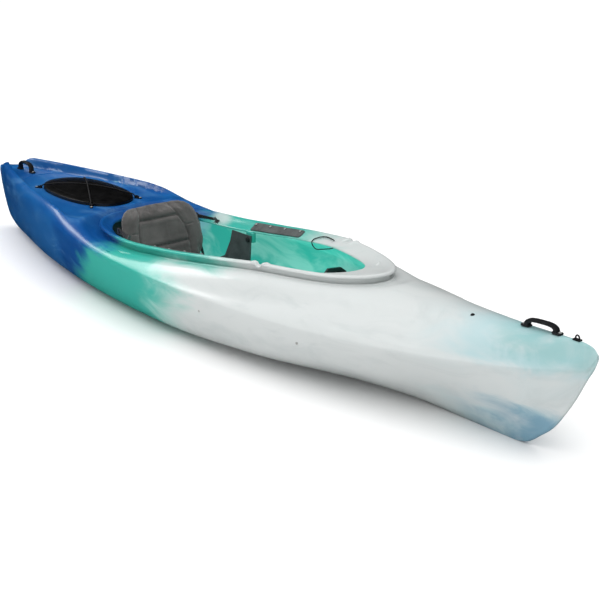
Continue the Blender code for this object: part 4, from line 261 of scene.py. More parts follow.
def marbled(name, inside=False):
    """Rotomoulded plastic whose colours run into each other along the hull."""
    s = Shader(name, roughness=0.34)
    front, side, height = s.split(s.place)
    drift = s.noise(s.scaled(s.place, (1.1, 1.6, 1.6)), 1.3, 2, 0.5, 0.2, "Color")
    drift = s.scaled(s.vector("SUBTRACT", drift, (0.5, 0.5, 0.5)), (0.34, 0.24, 0.24))
    place = s.vector("ADD", s.place, drift)
    x = s.split(place)[0]
    flow = s.math("SUBTRACT", s.noise(s.scaled(place, (1.5, 4.2, 4.2)), 2.4, 5, 0.62, 0.8), 0.5)
    ragged = s.product(flow, RAGGED_EDGE)

    def cloud(name, at=place):
        stretch, noise, span = CLOUDS[name]
        return s.span(s.noise(s.scaled(at, stretch), *noise), *span)

    # The colours were laid in the mould as bands: blue at the stern, teal, then white from the cockpit on
    port = s.span(side, *PORT_SIDE, 0, PORT_SHIFTS[inside])
    teal = s.span(s.math("ADD", x, s.span(height, *LOW_SHIFT), port, ragged), *TEAL_SPAN)
    # High on the deck the white comes sooner: white marbling, and a painted highlight along the near deck
    shifts = [s.span(height, *DECK_WHITE_AND_HIGHLIGHT_SHIFT), s.span(side, *PORT_SIDE, 0, FAR_FLANGE_SHIFT), s.span(height, *RIM_SHIFT)]
    second = s.math("ADD", x, ragged, *shifts)
    pale, white = s.span(second, *PALE_SPANS[inside]), s.span(second, *WHITE_SPANS[inside])
    thin = s.noise(s.scaled(place, (1.2, 3.0, 3.0)), 3.0, 3, 0.5, 1.3)
    wisp = s.span(s.math("ABSOLUTE", s.math("SUBTRACT", thin, 0.5), 0), *WISP_SPAN)
    layers = [
        # Deep blue with clouds and thin wisps of lighter colour
        (cloud("ocean"), OCEAN),
        (s.product(cloud("haze"), 0.75), HAZE_BLUE),
        (s.product(wisp, cloud("patch")), WISP_BLUE),
        (teal, TEAL),
        # Teal pales before it gives way to white, with faint cool veils in the white
        (s.product(pale, teal, cloud("marbling")), PALE_TEAL),
        (s.product(white, teal), COOL_GREY if inside else WHITE),
        (s.product(cloud("veil"), white), COOL_GREY),
    ]
    if inside:
        layers.append((cloud("blotch", s.place), PALE_TEAL))
    else:
        # Cyan and steel blue come back at the bow, strongest along its foot and its top
        drawn = s.math("ADD", height, s.product(flow, RAGGED_FOOT))
        band = s.math("MAXIMUM", s.span(drawn, *HAZE_HIGH), s.span(drawn, *HAZE_LOW))
        dark = cloud("dark")
        # Painted highlight: one pale spot of white on the port flange beside the backrest
        swirl = s.vector("DISTANCE", s.scaled(place, (1.0, 1.6, 1.6)), HIGHLIGHT_SPOT_PLACE)
        layers += [
            (s.product(s.span(front, *BOW_HAZE), band, cloud("swirl")), PALE_CYAN),
            (s.product(s.span(drawn, *TOP_HEIGHT), s.span(front, *BOW_TOP), dark), SEA_GREEN),
            (s.product(s.span(drawn, *FOOT_DEPTH), s.span(front, *BOW_FOOT), dark), STEEL_BLUE),
            (s.span(swirl, *HIGHLIGHT_SPOT_SPAN), WHITE),
        ]
    colour = DEEP_BLUE
    for share, paint in layers:
        colour = s.mix(share, colour, paint)
    wavy, pebble, grain = s.noise(s.place, 9, 2, 0.4), s.noise(s.place, 260, 2), s.noise(s.place, 900, 2)
    s.set({
        "Base Color": colour, "Normal": s.bumps((wavy, 0.004, 0.12), (pebble, 0.0003, 0.10), (grain, 0.0001, 0.08)),
        "Roughness": s.spread(s.noise(s.place, 12, 2), 0.290, 0.330), "Specular IOR Level": 0.5,
        "Coat Weight": 0.30, "Coat Roughness": 0.12,
        "Subsurface Weight": 0.06, "Subsurface Radius": (0.006, 0.008, 0.008), "Subsurface Scale": 0.6,
    })
    if inside:
        # Painted light: the inside glows by emission, standing for daylight through the thin wall, and glows less
        # behind the cockpit
        painted_glow = s.mix(s.span(front, *COCKPIT_SPAN), STERN_PAINTED_GLOW, colour)
        s.set({"Emission Color": painted_glow, "Emission Strength": 0.60})
    return s.material


def moulded(name, colour, roughness=0.5, grain=420, depth=0.0006, variation=0.35):
    """Injection-moulded plastic with a fine grain and slightly worn highlights."""
    s = Shader(name, colour, roughness)
    tones = shades(colour, 1 - variation * 0.5, 1 + variation, 0.001)
    fine = s.noise(s.place, grain * 2.2, 2)
    s.set({
        "Specular IOR Level": 0.4,
        "Base Color": s.mix(s.spread(s.noise(s.place, 22, 3, 0.6)), *tones),
        "Roughness": s.spread(s.noise(s.place, 90, 3, 0.6), roughness - 0.07, roughness + 0.07),
        "Normal": s.bumps((s.cells(s.place, grain), depth, 0.35), (fine, depth * 0.4, 0.3)),
    })
    return s.material


def woven(name, colour, threads=620, roughness=0.9, sheen=0.35):
    """Woven cloth: crossing threads with slight changes of tone."""
    s = Shader(name, colour, roughness)
    cloud, fleck = s.noise(s.place, 9, 4, 0.6), s.noise(s.place, 520, 2, 0.6)
    tone = s.math("ADD", s.product(cloud, 0.6), s.product(fleck, 0.4))
    weave = s.math("MAXIMUM", s.wave(s.place, threads, "Y", 0.6), s.wave(s.place, threads, "Z", 0.6))
    s.set({
        "Specular IOR Level": 0.06, "Sheen Weight": sheen, "Sheen Roughness": 0.5,
        "Base Color": s.mix(s.span(tone, 0.36, 0.64), *shades(colour, 0.74, 1.28)),
        "Normal": s.bumps((s.noise(s.place, 46, 4, 0.6), 0.0022, 0.35), (weave, 0.0007, 0.5)),
    })
    return s.material


METAL_SHARE = 0.45  # the rest is plain grey, as gloss mirrors no surroundings here


def metal(name, colour, roughness=0.28):
    s = Shader(name, colour, roughness, METAL_SHARE)
    scratch = s.noise(s.scaled(s.place, (1, 14, 1)), 380, 3, 0.6)
    s.set({
        "Roughness": s.spread(scratch, roughness - 0.08, roughness + 0.12),
        "Base Color": s.mix(s.noise(s.place, 60, 3), *shades(colour, 0.86, 1)),
        "Normal": s.bumps((scratch, 0.0001, 0.2)),
    })
    return s.material


def cord_cover(name, colour):
    """Braided sheath of a shock cord: two families of slanting strands."""
    s = Shader(name, colour, 0.72)
    one, two = (s.wave(place, 420, "DIAGONAL", 0.3) for place in (s.place, s.scaled(s.place, (1, -1, 1))))
    braid = s.math("MAXIMUM", one, two)
    # The colour follows the braid's relief: painted shade between the strands and a painted highlight on their crests
    s.set({
        "Base Color": s.mix(s.span(braid, 0.3, 0.9), *shades(colour, 0.4, 2.1, 0.004)),
        "Normal": s.bumps((braid, 0.0005, 0.6)), "Specular IOR Level": 0.35, "Sheen Weight": 0.04,
    })
    return s.material


HULL = marbled("polyethylene_marbled")
HULL_INSIDE = marbled("polyethylene_inside", inside=True)
HATCH = moulded("hatch_cover_grain", (0.0026, 0.0026, 0.0027), 0.40, 300, 0.0006, 0.5)
BLACK = moulded("black_plastic_grain", (0.011, 0.011, 0.012), 0.40)
SEAT = moulded("seat_plastic_grain", (0.055, 0.062, 0.064), 0.50, 360, 0.0008, 0.3)
RAIL = moulded("rail_plastic_grain", (0.05, 0.05, 0.054), 0.5)
FOAM = moulded("foam_cells", (0.035, 0.035, 0.037), 0.92, 260, 0.0018, 0.4)
THIGH = moulded("thigh_pad_skin", (0.085, 0.092, 0.092), 0.62, 520, 0.0010, 0.3)
FABRIC = woven("cushion_weave", (0.098, 0.092, 0.090))
THREAD = woven("thread_twist", (0.055, 0.056, 0.056), 900, 0.8, 0.1)
WEBBING = woven("webbing_weave", (0.014, 0.014, 0.015), 900, 0.8, 0.2)
CORD = cord_cover("shock_cord_braid", (0.006, 0.006, 0.0065))
STEEL = metal("stainless_steel_brushed", (0.62, 0.62, 0.61))
BUCKLE = metal("buckle_dark_steel", (0.10, 0.10, 0.105), 0.30)

FINISHES = {
    "hatch_black": HATCH, "black_plastic": BLACK, "shock_cord": CORD, "closed_cell_foam": FOAM, "seat_plastic": SEAT,
    "cushion_fabric": FABRIC, "webbing": WEBBING, "rail_plastic": RAIL, "stainless_steel": STEEL,
    "buckle_metal": BUCKLE,
}


def finish_nodes():
    """Gives every CAD node that stays in view its detailed material."""
    for entry in frame["record"]["subparts"]:
        node = nodes[entry["node"]]
        made = FINISHES.get(entry["material_slot"])
        if entry["node"].startswith("thigh_pad_") and "screw" not in entry["node"]:
            made = THIGH
        if made:
            node.data.materials.clear()
            node.data.materials.append(made)


# Floor and light

FLOOR_RADIUS, FLOOR_DROP, BACKDROP_RADIUS, BACKDROP_HEIGHT = 45, 0.0008, 44, 40
CEILING = {"From Min": 0.30, "From Max": 0.85, "To Min": 0.03, "To Max": 1.90}
# Lamps: place, the point aimed at, width and height in metres, and power in watts
LAMPS = {
    "side_box": ((-0.6, -4.6, 1.5), (-0.2, 0.0, 0.2), (4.0, 1.2), 16),
    "front": ((3.4, -3.8, 1.9), (0.5, 0.0, 0.2), (3.0, 2.0), 22),
    "rim": ((-5.0, -2.2, 3.6), (0.2, -0.2, 0.25), (3.0, 1.0), 60),
    "low": ((1.2, -4.2, 0.45), (0.6, 0.0, 0.12), (3.5, 0.5), 12),
}


def stage_piece(name, bm, height, shader, **visibility):
    piece = assign(mesh_object(name, bm), visible_glossy=False, **visibility)
    piece.location.z = height
    piece.data.materials.append(shader.material)


def make_stage():
    bm = bmesh.new()
    bmesh.ops.create_circle(bm, cap_ends=True, segments=64, radius=FLOOR_RADIUS)
    stage_piece("floor", bm, -FLOOR_DROP, Shader("floor_pale", (0.93, 0.93, 0.93), 0.95))
    # A white backdrop behind the floor's edge, for low views alone: it neither lights nor shades
    bm = bmesh.new()
    bmesh.ops.create_cone(bm, segments=64, radius1=BACKDROP_RADIUS, radius2=BACKDROP_RADIUS, depth=BACKDROP_HEIGHT)
    paper = Shader("backdrop_pale", (0, 0, 0), 1.0)
    paper.set({"Emission Color": (1, 1, 1), "Emission Strength": 1.0})
    stage_piece("backdrop", bm, BACKDROP_HEIGHT / 2 - 1, paper, visible_diffuse=False, visible_shadow=False)
    # A bright studio ceiling above dark walls. Gloss mirrors only the lamps, as on a cut-out product picture
    world = bpy.data.worlds.new("studio")
    world.use_nodes = True
    tree = world.node_tree
    up = add_node(tree, "SeparateXYZ", {0: tree.nodes.new("ShaderNodeTexCoord").outputs["Generated"]})[2]
    light = add_node(tree, "MapRange", {"Value": up, **CEILING}, interpolation_type="SMOOTHSTEP")[0]
    fill(tree, tree.nodes["Background"].inputs, {"Color": (1, 1, 1), "Strength": light})
    world.cycles_visibility.glossy = False
    scene.world = world
    for name, (place, aim, (width, height), power) in LAMPS.items():
        data = assign(bpy.data.lights.new(name, "AREA"), shape="RECTANGLE", size=width, size_y=height, energy=power)
        lamp = linked(name, data)
        lamp.location = place
        lamp.rotation_euler = (Vector(aim) - Vector(place)).to_track_quat("-Z", "Y").to_euler()
    scene.view_settings.view_transform = "Standard"


# Hull lines, as in the CAD source

HULL_LENGTH, HULL_BEAM, HULL_DEPTH, WALL = 3.66, 0.724, 0.386, 0.005
STEM_HALF_WIDTH, KEEL_HALF_WIDTH, KEEL_ROUNDING, BEAM_CENTRE = 0.006, 0.010, 0.006, -0.016
COAMING_FRONT, COAMING_REAR, COAMING_WIDEST, COAMING_HALF_WIDTH = 0.935, -0.695, -0.15, 0.277
COAMING_RISE, LIP_OVERHANG, LIP_THICKNESS = 0.036, 0.018, 0.012
OPENING_FRONT, OPENING_REAR, OPENING_HALF_WIDTH, FLANGE_DROP = 0.79, -0.655, 0.217, 0.034
SHOULDER_WIDTH, SHOULDER_START, SHOULDER_END, SHOULDER_END_REAR = 0.030, 0.120, 0.105, 0.045
PADDLE_REST, PADDLE_REST_RADIUS, PADDLE_REST_DEPTH = 0.518, 0.015, 0.010
TRAY_FLOOR, TRAY_SIDE, TRAY_WALL = 0.772 * HULL_DEPTH, 0.036, 0.020
TRAY_REAR, TRAY_FRONT, TRAY_END = -1.735, -0.700, 0.050
HATCH_CENTRE, HATCH_HALF_LENGTH, HATCH_HALF_WIDTH, HATCH_POWER = -1.018, 0.279, 0.141, 2.31
HATCH_HOLE_INSET, HATCH_RIM_WALL, HATCH_RIM_HEIGHT = 0.030, 0.004, 0.008
SEAT_BOLT = -0.105
BEAM_POWER, BOW_FULLNESS, STERN_FULLNESS, FRONT_POWER, REAR_POWER = 2.03, 0.955, 0.85, 2.1, 2.6
HORN_RISE, HORN_PLACE, HORN_WIDTH = 0.0045, 0.027, 0.011
HALF_LENGTH, HALF_BEAM = HULL_LENGTH / 2, HULL_BEAM / 2


def smooth_line(*stations):
    """A smooth line through (position, value) stations that never overshoots them."""
    xs = np.array([place for place, value in stations])
    ys = np.array([value for place, value in stations])
    slopes = np.diff(ys) / np.diff(xs)
    tangents = np.zeros(len(xs))
    tangents[0], tangents[-1] = slopes[0], slopes[-1]
    for i in range(1, len(xs) - 1):
        before, after = slopes[i - 1], slopes[i]
        if before * after > 0:
            tangents[i] = 2 * before * after / (before + after)

    def value(x):
        x = np.clip(x, xs[0], xs[-1])
        i = np.clip(np.searchsorted(xs, x) - 1, 0, len(xs) - 2)
        step = xs[i + 1] - xs[i]
        t = (x - xs[i]) / step
        return (
            (2 * t**3 - 3 * t**2 + 1) * ys[i] + (t**3 - 2 * t**2 + t) * step * tangents[i]
            + (3 * t**2 - 2 * t**3) * ys[i + 1] + (t**3 - t**2) * step * tangents[i + 1]
        )

    return value


def smoothstep(start, end, value):
    t = np.clip((value - start) / (end - start), 0, 1)
    return t * t * (3 - 2 * t)


KEEL_LINE = smooth_line(
    (-1, 0.69), (-0.991, 0.50), (-0.982, 0.29), (-0.961, 0.215), (-0.932, 0.08), (-0.902, 0),
    (0.839, 0), (0.866, 0.020), (0.891, 0.104), (0.916, 0.205), (0.939, 0.352), (0.962, 0.528),
    (0.983, 0.723), (0.994, 0.81), (1, 0.88),
)
KNUCKLE_LINE = smooth_line(
    (-1, 0.715), (-0.82, 0.70), (-0.546, 0.668), (-0.328, 0.628), (0, 0.596),
    (0.328, 0.588), (0.546, 0.609), (0.765, 0.666), (0.93, 0.745), (0.983, 0.80), (1, 0.905),
)
TOP_LINE = smooth_line(
    (-1, 0.745), (-0.94, 0.777), (-0.896, 0.883), (-0.71, 0.873), (-0.454, 0.858), (-0.328, 0.785),
    (-0.164, 0.777), (0, 0.821), (0.164, 0.907), (0.328, 0.969), (0.52, 0.977), (0.63, 0.964),
    (0.683, 0.953), (0.82, 0.969), (0.967, 1), (0.989, 0.984), (1, 0.938),
)
LIP_LINE = smooth_line(
    (-0.38, 0.751), (-0.164, 0.764), (0, 0.829), (0.164, 0.920), (0.30, 0.982), (0.437, 0.998),
    (0.51, 1.020),
)
CROWN_POWER = smooth_line((-0.50, 12), (-0.38, 6), (-0.164, 2.8), (0, 2.4), (0.33, 2.0), (1, 2.0))
CROWN_RISE = smooth_line((-0.50, 0.42), (-0.164, 0.75), (0.33, 0.77), (1, 0.77))
SECTION_STATIONS = (-1, -0.82, -0.55, -0.27, 0, 0.27, 0.55, 0.74, 0.87, 1)
SECTION_SHARES = (
    ((0.40, 0.36, 0.45, 0.53, 0.55, 0.53, 0.36, 0.24, 0.25, 0.40),
     (0.20, 0.05, 0.03, 0.03, 0.04, 0.09, 0.15, 0.16, 0.20, 0.30)),
    ((0.70, 0.70, 0.78, 0.82, 0.83, 0.82, 0.72, 0.52, 0.50, 0.60),
     (0.45, 0.22, 0.17, 0.165, 0.17, 0.26, 0.43, 0.47, 0.46, 0.50)),
    ((0.88, 0.88, 0.925, 0.95, 0.955, 0.955, 0.91, 0.79, 0.77, 0.80),
     (0.72, 0.55, 0.50, 0.50, 0.52, 0.60, 0.73, 0.76, 0.74, 0.75)),
)
SECTION_LINES = [tuple(smooth_line(*zip(SECTION_STATIONS, shares)) for shares in pair) for pair in SECTION_SHARES]
PANEL_EDGE = smooth_line((0.49, 0.68), (0.60, 0.55), (0.665, 0.48), (0.73, 0.55))
PANEL_REAR, PANEL_TIP, PANEL_DEPTH, PANEL_SOFT, PANEL_FADE, PANEL_SIDE = 0.915, 1.335, 0.006, 0.03, 0.1, (0.90, 0.96)


def half_beam(x):
    x = np.asarray(x, float)
    ahead = x > BEAM_CENTRE
    reach = np.where(ahead, HALF_LENGTH - BEAM_CENTRE, HALF_LENGTH + BEAM_CENTRE)
    share = np.clip(np.abs(x - BEAM_CENTRE) / reach, 0, 1)
    fullness = np.where(ahead, BOW_FULLNESS, STERN_FULLNESS)
    return STEM_HALF_WIDTH + (HALF_BEAM - STEM_HALF_WIDTH) * (1 - share**BEAM_POWER) ** fullness


def rounded(value, power):
    """A cosine or sine bent so that the circle becomes a rounded oblong."""
    return math.copysign(abs(value) ** power, value)


def egg(angle, front, rear, half_width):
    c, s = math.cos(angle), math.sin(angle)
    power, reach = (FRONT_POWER, front - COAMING_WIDEST) if c >= 0 else (REAR_POWER, COAMING_WIDEST - rear)
    x = COAMING_WIDEST + reach * rounded(c, 2 / power)
    return Vector((x, 0.0 if abs(s) < 1e-9 else half_width * abs(s) ** (2 / power)))


def lip_point(angle):
    return egg(angle, COAMING_FRONT, COAMING_REAR, COAMING_HALF_WIDTH)


def lip_normal(angle):
    if angle < 1e-6:
        return Vector((1, 0))
    if angle > math.pi - 1e-6:
        return Vector((-1, 0))
    along = lip_point(min(angle + 0.01, math.pi)) - lip_point(max(angle - 0.01, 0))
    return Vector((along.y, -along.x)).normalized()


def rest_shape(x):
    """Rise of the lip beside the paddle rest's groove and the groove itself."""
    off = abs(x - PADDLE_REST)
    horn = HORN_RISE * math.exp(-((off - HORN_PLACE) / HORN_WIDTH) ** 2)
    groove = PADDLE_REST_DEPTH + PADDLE_REST_RADIUS * (math.sqrt(max(0.0, 1 - (off / PADDLE_REST_RADIUS) ** 2)) - 1)
    return horn, max(0.0, groove) if off < PADDLE_REST_RADIUS else 0.0


def lip_height(x):
    return float(LIP_LINE(x / HALF_LENGTH)) * HULL_DEPTH


def coaming_point(angle, outward, up, shaped=0.0):
    place = lip_point(angle)
    spot = place + lip_normal(angle) * outward
    horn, groove = rest_shape(spot.x)
    return Vector((spot.x, max(spot.y, 0.0), lip_height(place.x) + up + (horn - groove) * shaped))


def opening_point(angle, down):
    place = egg(angle, OPENING_FRONT, OPENING_REAR, OPENING_HALF_WIDTH)
    return Vector((place.x, place.y, lip_height(lip_point(angle).x) - down))


FOOT_POINTS = np.array([coaming_point(a, -LIP_OVERHANG, -COAMING_RISE) for a in np.linspace(0, math.pi, 361)])


def deck_height(x, y):
    """Height of the deck at points in plan, outside the coaming."""
    x = np.asarray(x, float)
    y = np.abs(np.asarray(y, float))
    s = x / HALF_LENGTH
    beam = half_beam(x)
    share = np.clip(y / beam, 0, 1)
    low, top = KNUCKLE_LINE(s) * HULL_DEPTH, TOP_LINE(s) * HULL_DEPTH
    height = low + (top - low) * (1 - share ** CROWN_POWER(s)) ** CROWN_RISE(s)
    tray = smoothstep(0, TRAY_WALL, beam - TRAY_SIDE - y)
    tray = tray * smoothstep(TRAY_REAR, TRAY_REAR + TRAY_END, x)
    tray = tray * (1 - smoothstep(TRAY_FRONT, TRAY_FRONT + TRAY_END, x))
    height = height + (np.minimum(TRAY_FLOOR, height) - height) * tray
    panel = smoothstep(0, PANEL_SOFT, share - PANEL_EDGE(s)) * (1 - smoothstep(*PANEL_SIDE, share))
    panel = panel * smoothstep(PANEL_REAR, PANEL_REAR + PANEL_SOFT, x)
    panel = panel * (1 - smoothstep(PANEL_TIP - PANEL_FADE, PANEL_TIP, x))
    height = height - PANEL_DEPTH * panel
    gap = np.hypot(x[..., None] - FOOT_POINTS[:, 0], y[..., None] - FOOT_POINTS[:, 1])
    foot = FOOT_POINTS[gap.argmin(-1)]
    rear = smoothstep(COAMING_REAR, COAMING_REAR + SHOULDER_START, foot[..., 0])
    start = SHOULDER_WIDTH * (0.25 + 0.75 * rear)
    end = SHOULDER_END_REAR + (SHOULDER_END - SHOULDER_END_REAR) * rear
    near = 1 - smoothstep(start, end, gap.min(-1))
    return height + (foot[..., 2] - height) * near


STERN_STATIONS = (-1, -0.991, -0.981, -0.955, -0.925, -0.896, -0.84, -0.76, -0.67, -0.58, -0.49, -0.44, -0.402)
BOW_STATIONS = (0.52, 0.565, 0.62, 0.69, 0.76, 0.82, 0.865, 0.90, 0.93, 0.957, 0.979, 0.992, 1)
FAN_SHEAR_REAR, FAN_SHEAR_FRONT = -0.27, 0.26
FIRST_COCKPIT, LAST_COCKPIT, LAST_COLUMN = 13, 33, 46
STERN_COLUMNS, BOW_COLUMNS = range(FIRST_COCKPIT), range(LAST_COCKPIT + 1, LAST_COLUMN + 1)
INSIDE_FROM, INSIDE_TO = 4, 42
STERN_STEPS = (0.004, 0.012, 0.034, 0.056)
COCKPIT_SHARES = (0.05, 0.14, 0.28, 0.46, 0.64, 0.82, 1.0)
BOW_SHARES = (0.03, 0.10, 0.20, 0.33, 0.48, 0.65, 0.83)
BOTTOM_FINE, DECK_FINE = 5, 4
LINING_STEP, END_STEPS, COLUMN_STEPS, COCKPIT_STEPS = 2, 4, 5, 6
REST_FROM, REST_REACH, REST_STEP = 24, 0.045, 0.003
KNUCKLE_ROUNDING, KNUCKLE_POINTS = 0.011, 5
LEAST_HALF_WIDTH = 0.0015
# The coaming's section over the lip: out from its edge, up from it, and its share of the paddle rest's groove
LIP_SECTION = (
    (-LIP_OVERHANG + 0.0005, -COAMING_RISE + 0.006, 0), (-LIP_OVERHANG + 0.0018, -COAMING_RISE + 0.013, 0),
    (-LIP_OVERHANG + 0.003, -LIP_THICKNESS - 0.003, 0), (-0.009, -LIP_THICKNESS - 0.0008, 0),
    (-0.003, -LIP_THICKNESS, 0.35), (-0.0005, -0.0100, 0.6), (0, -0.0068, 1), (-0.0020, -0.0030, 1),
    (-0.0066, -0.0004, 1), (-0.014, -0.001, 1),
)
LIP_TOP, FLANGE_TOP, FLANGE_MIDDLE, FLANGE_EDGE = LIP_SECTION[-1][:2], 9, 13, (16, 17)
# The flange's section from the lip's top over its middle to its edge, and back under it
FLANGE_FLATTENING, FLANGE_SAG, FLANGE_EXTRA_WALL, RISER_FOOT = 0.35, 0.003, 0.001, 0.010
TOP_SHARE, TOP_LIFT, EDGE_DROP, EDGE_LIFT, UNDER_SHARE = 0.18, 0.0006, 0.0020, 0.0015, 0.90


def column_at(t):
    """The column at a place t counted in CAD columns: its outer x, inner point, coaming angle and shares."""
    if FIRST_COCKPIT <= t <= LAST_COCKPIT:
        share = (t - FIRST_COCKPIT) / (LAST_COCKPIT - FIRST_COCKPIT)
        angle = math.pi * (1 - share)
        foot = coaming_point(angle, -LIP_OVERHANG, -COAMING_RISE)
        shear = FAN_SHEAR_REAR + (FAN_SHEAR_FRONT - FAN_SHEAR_REAR) * share
        return foot.x + shear * abs(math.cos(angle)), Vector((foot.x, foot.y)), angle, 0.0, 0.0
    if t < FIRST_COCKPIT:
        x = float(np.interp(t, STERN_COLUMNS, STERN_STATIONS)) * HALF_LENGTH
        shear = FAN_SHEAR_REAR * float(smoothstep(-0.75, -0.38, x / HALF_LENGTH))
        if t > FIRST_COCKPIT - 1:
            share = t - FIRST_COCKPIT + 1
            x += (coaming_point(math.pi, -LIP_OVERHANG, 0).x - x) * share
            shear += (FAN_SHEAR_REAR - shear) * share
        return x + shear, Vector((x, 0.0)), None, float(1 - smoothstep(-0.50, -0.44, x / HALF_LENGTH)), 0.0
    x = float(np.interp(t, BOW_COLUMNS, BOW_STATIONS)) * HALF_LENGTH
    shear = FAN_SHEAR_FRONT * float(1 - smoothstep(0.50, 0.86, x / HALF_LENGTH))
    if t < LAST_COCKPIT + 1:
        share = LAST_COCKPIT + 1 - t
        x += (coaming_point(0, -LIP_OVERHANG, 0).x - x) * share
        shear += (FAN_SHEAR_FRONT - shear) * share
    return x + shear, Vector((x, 0.0)), None, 0.0, float(smoothstep(0.50, 0.57, x / HALF_LENGTH))


def curve_through(points, steps):
    """A smooth curve through points, with even steps in each stretch."""
    ends = [points[0] * 2 - points[1]] + points + [points[-1] * 2 - points[-2]]
    curve = []
    for a, b, c, d in zip(ends, ends[1:], ends[2:], ends[3:]):
        for t in np.linspace(0, 1, steps, endpoint=False):
            bend = (2 * a - 5 * b + 4 * c - d) * t**2 + (3 * b - a - 3 * c + d) * t**3
            curve.append(0.5 * (2 * b + (c - a) * t + bend))
    return curve + [points[-1]]


def bottom_line(x):
    """The section from the keel to the knuckle, finely."""
    s = x / HALF_LENGTH
    beam, keel, knuckle = float(half_beam(x)), float(KEEL_LINE(s)) * HULL_DEPTH, float(KNUCKLE_LINE(s)) * HULL_DEPTH
    slope = abs(float(KEEL_LINE((x + 0.01) / HALF_LENGTH) - KEEL_LINE((x - 0.01) / HALF_LENGTH))) * HULL_DEPTH / 0.02
    edge = min(KEEL_HALF_WIDTH, beam * 0.5)
    control = [Vector((edge, keel + min(KEEL_ROUNDING * slope, 0.25 * (knuckle - keel))))]
    for across, up in SECTION_LINES:
        control.append(Vector((max(float(across(s)) * beam, edge * 1.05), keel + float(up(s)) * (knuckle - keel))))
    control.append(Vector((beam, knuckle)))
    points = [Vector((0.0, keel)), Vector((edge * 0.5, keel))] + curve_through(control, BOTTOM_FINE)
    return [Vector((x, p.x, p.y)) for p in points]


def deck_line(outer_x, inner, stern, bow):
    """The deck from just inside the knuckle to its inner edge, finely."""
    edge = Vector((outer_x, float(half_beam(outer_x))))
    length = (inner - edge).length
    scale = min(1.0, length / 0.17)
    steps = [step * scale for step in STERN_STEPS]
    steps += [steps[-1] + (length - steps[-1]) * k / 4 for k in (1, 2, 3)]
    ring = 1 - min(SHOULDER_WIDTH / length, 0.3)
    shares = [0.0]
    for a, b, c in zip(steps, COCKPIT_SHARES, BOW_SHARES):
        shares.append(a / length * stern + c * bow + b * ring * (1 - stern - bow))
    shares.append(1.0)
    fine = np.interp(np.arange(1, 8 * DECK_FINE + 1) / DECK_FINE, range(9), shares)
    places = [edge.lerp(inner, share) for share in fine]
    heights = deck_height(np.array([p.x for p in places]), np.array([p.y for p in places]))
    return [Vector((p.x, p.y, float(h))) for p, h in zip(places, heights)]


def coaming_line(angle):
    """The coaming's section over the lip to the opening, and back under, with rounded edges."""
    lip = [coaming_point(angle, *at) for at in LIP_SECTION]
    top, edge = lip[-1], opening_point(angle, FLANGE_DROP * (1 - FLANGE_FLATTENING * math.cos(angle) ** 4))
    middle = coaming_point(angle, *LIP_TOP).lerp(edge, 0.5) - UP * FLANGE_SAG
    under = UP * (WALL + FLANGE_EXTRA_WALL)
    riser = -LIP_OVERHANG - WALL - FLANGE_EXTRA_WALL
    return lip + [
        top.lerp(middle, TOP_SHARE) + UP * TOP_LIFT,
        *(top.lerp(middle, share) for share in (0.45, 0.75)),
        middle,
        *(middle.lerp(edge, share) for share in (0.35, 0.70, 0.93)),
        edge - UP * EDGE_DROP,
        edge - under + UP * EDGE_LIFT,
        middle.lerp(edge, UNDER_SHARE) - under,
        middle - under,
        coaming_point(angle, riser, -COAMING_RISE + RISER_FOOT),
        coaming_point(angle, riser, -COAMING_RISE - WALL),
    ]


def fine_places():
    """Column places: even steps between the CAD's columns, and close ones at the paddle rests."""
    places = {float(LAST_COLUMN)}
    for i in range(LAST_COLUMN):
        steps = COCKPIT_STEPS if FIRST_COCKPIT <= i < LAST_COCKPIT else COLUMN_STEPS
        if i <= INSIDE_FROM or i >= INSIDE_TO:
            steps = END_STEPS
        places |= {round(i + k / steps, 4) for k in range(steps)}
    centre = min(np.linspace(REST_FROM, LAST_COCKPIT, 4000), key=lambda t: abs(column_at(t)[1].x - PADDLE_REST))
    ahead = column_at(centre + 0.1)[1].x - column_at(centre)[1].x
    near = np.arange(-REST_REACH, REST_REACH + 0.0001, REST_STEP)
    places |= {round(float(centre + off / ahead * 0.1), 4) for off in near}
    return sorted(places)


def soften_line(points, rounding, first):
    """Rounds the corners of a section line: each point moves towards the mean of what lies near it."""
    lengths = np.concatenate([[0], np.cumsum([(b - a).length for a, b in zip(points, points[1:])])])
    values = np.array(points)
    out = values.copy()
    weights = np.array([1, 3, 6, 8, 9, 8, 6, 3, 1.0])
    for i in range(first, len(points) - 1):
        if rounding[i] > 0:
            samples = np.clip(lengths[i] + np.linspace(-1, 1, len(weights)) * rounding[i], 0, lengths[-1])
            near = np.stack([np.interp(samples, lengths, axis) for axis in values.T], axis=1)
            out[i] = (near * weights[:, None]).sum(0) / weights.sum()
    return [Vector(p) for p in out]


def fine_columns():
    """Each column's place, its outer line from keel to inner edge, and its coaming section or None."""
    places = fine_places()
    outer, lips = [], []
    for t in places:
        outer_x, inner, angle, stern, bow = column_at(t)
        low = bottom_line(outer_x)
        line = low + deck_line(outer_x, inner, stern, bow)
        reach, knuckle = min(KNUCKLE_ROUNDING, float(half_beam(outer_x)) * 0.25), len(low) - 1
        rounding = [reach * max(0.0, 1 - abs(i - knuckle) / KNUCKLE_POINTS) for i in range(len(line))]
        outer.append(soften_line(line, rounding, 3))
        lips.append(None if angle is None else coaming_line(angle))
        if angle is not None:
            outer[-1][-1] = coaming_point(angle, -LIP_OVERHANG, -COAMING_RISE)
    return places, np.array([[tuple(p) for p in column] for column in outer]), lips


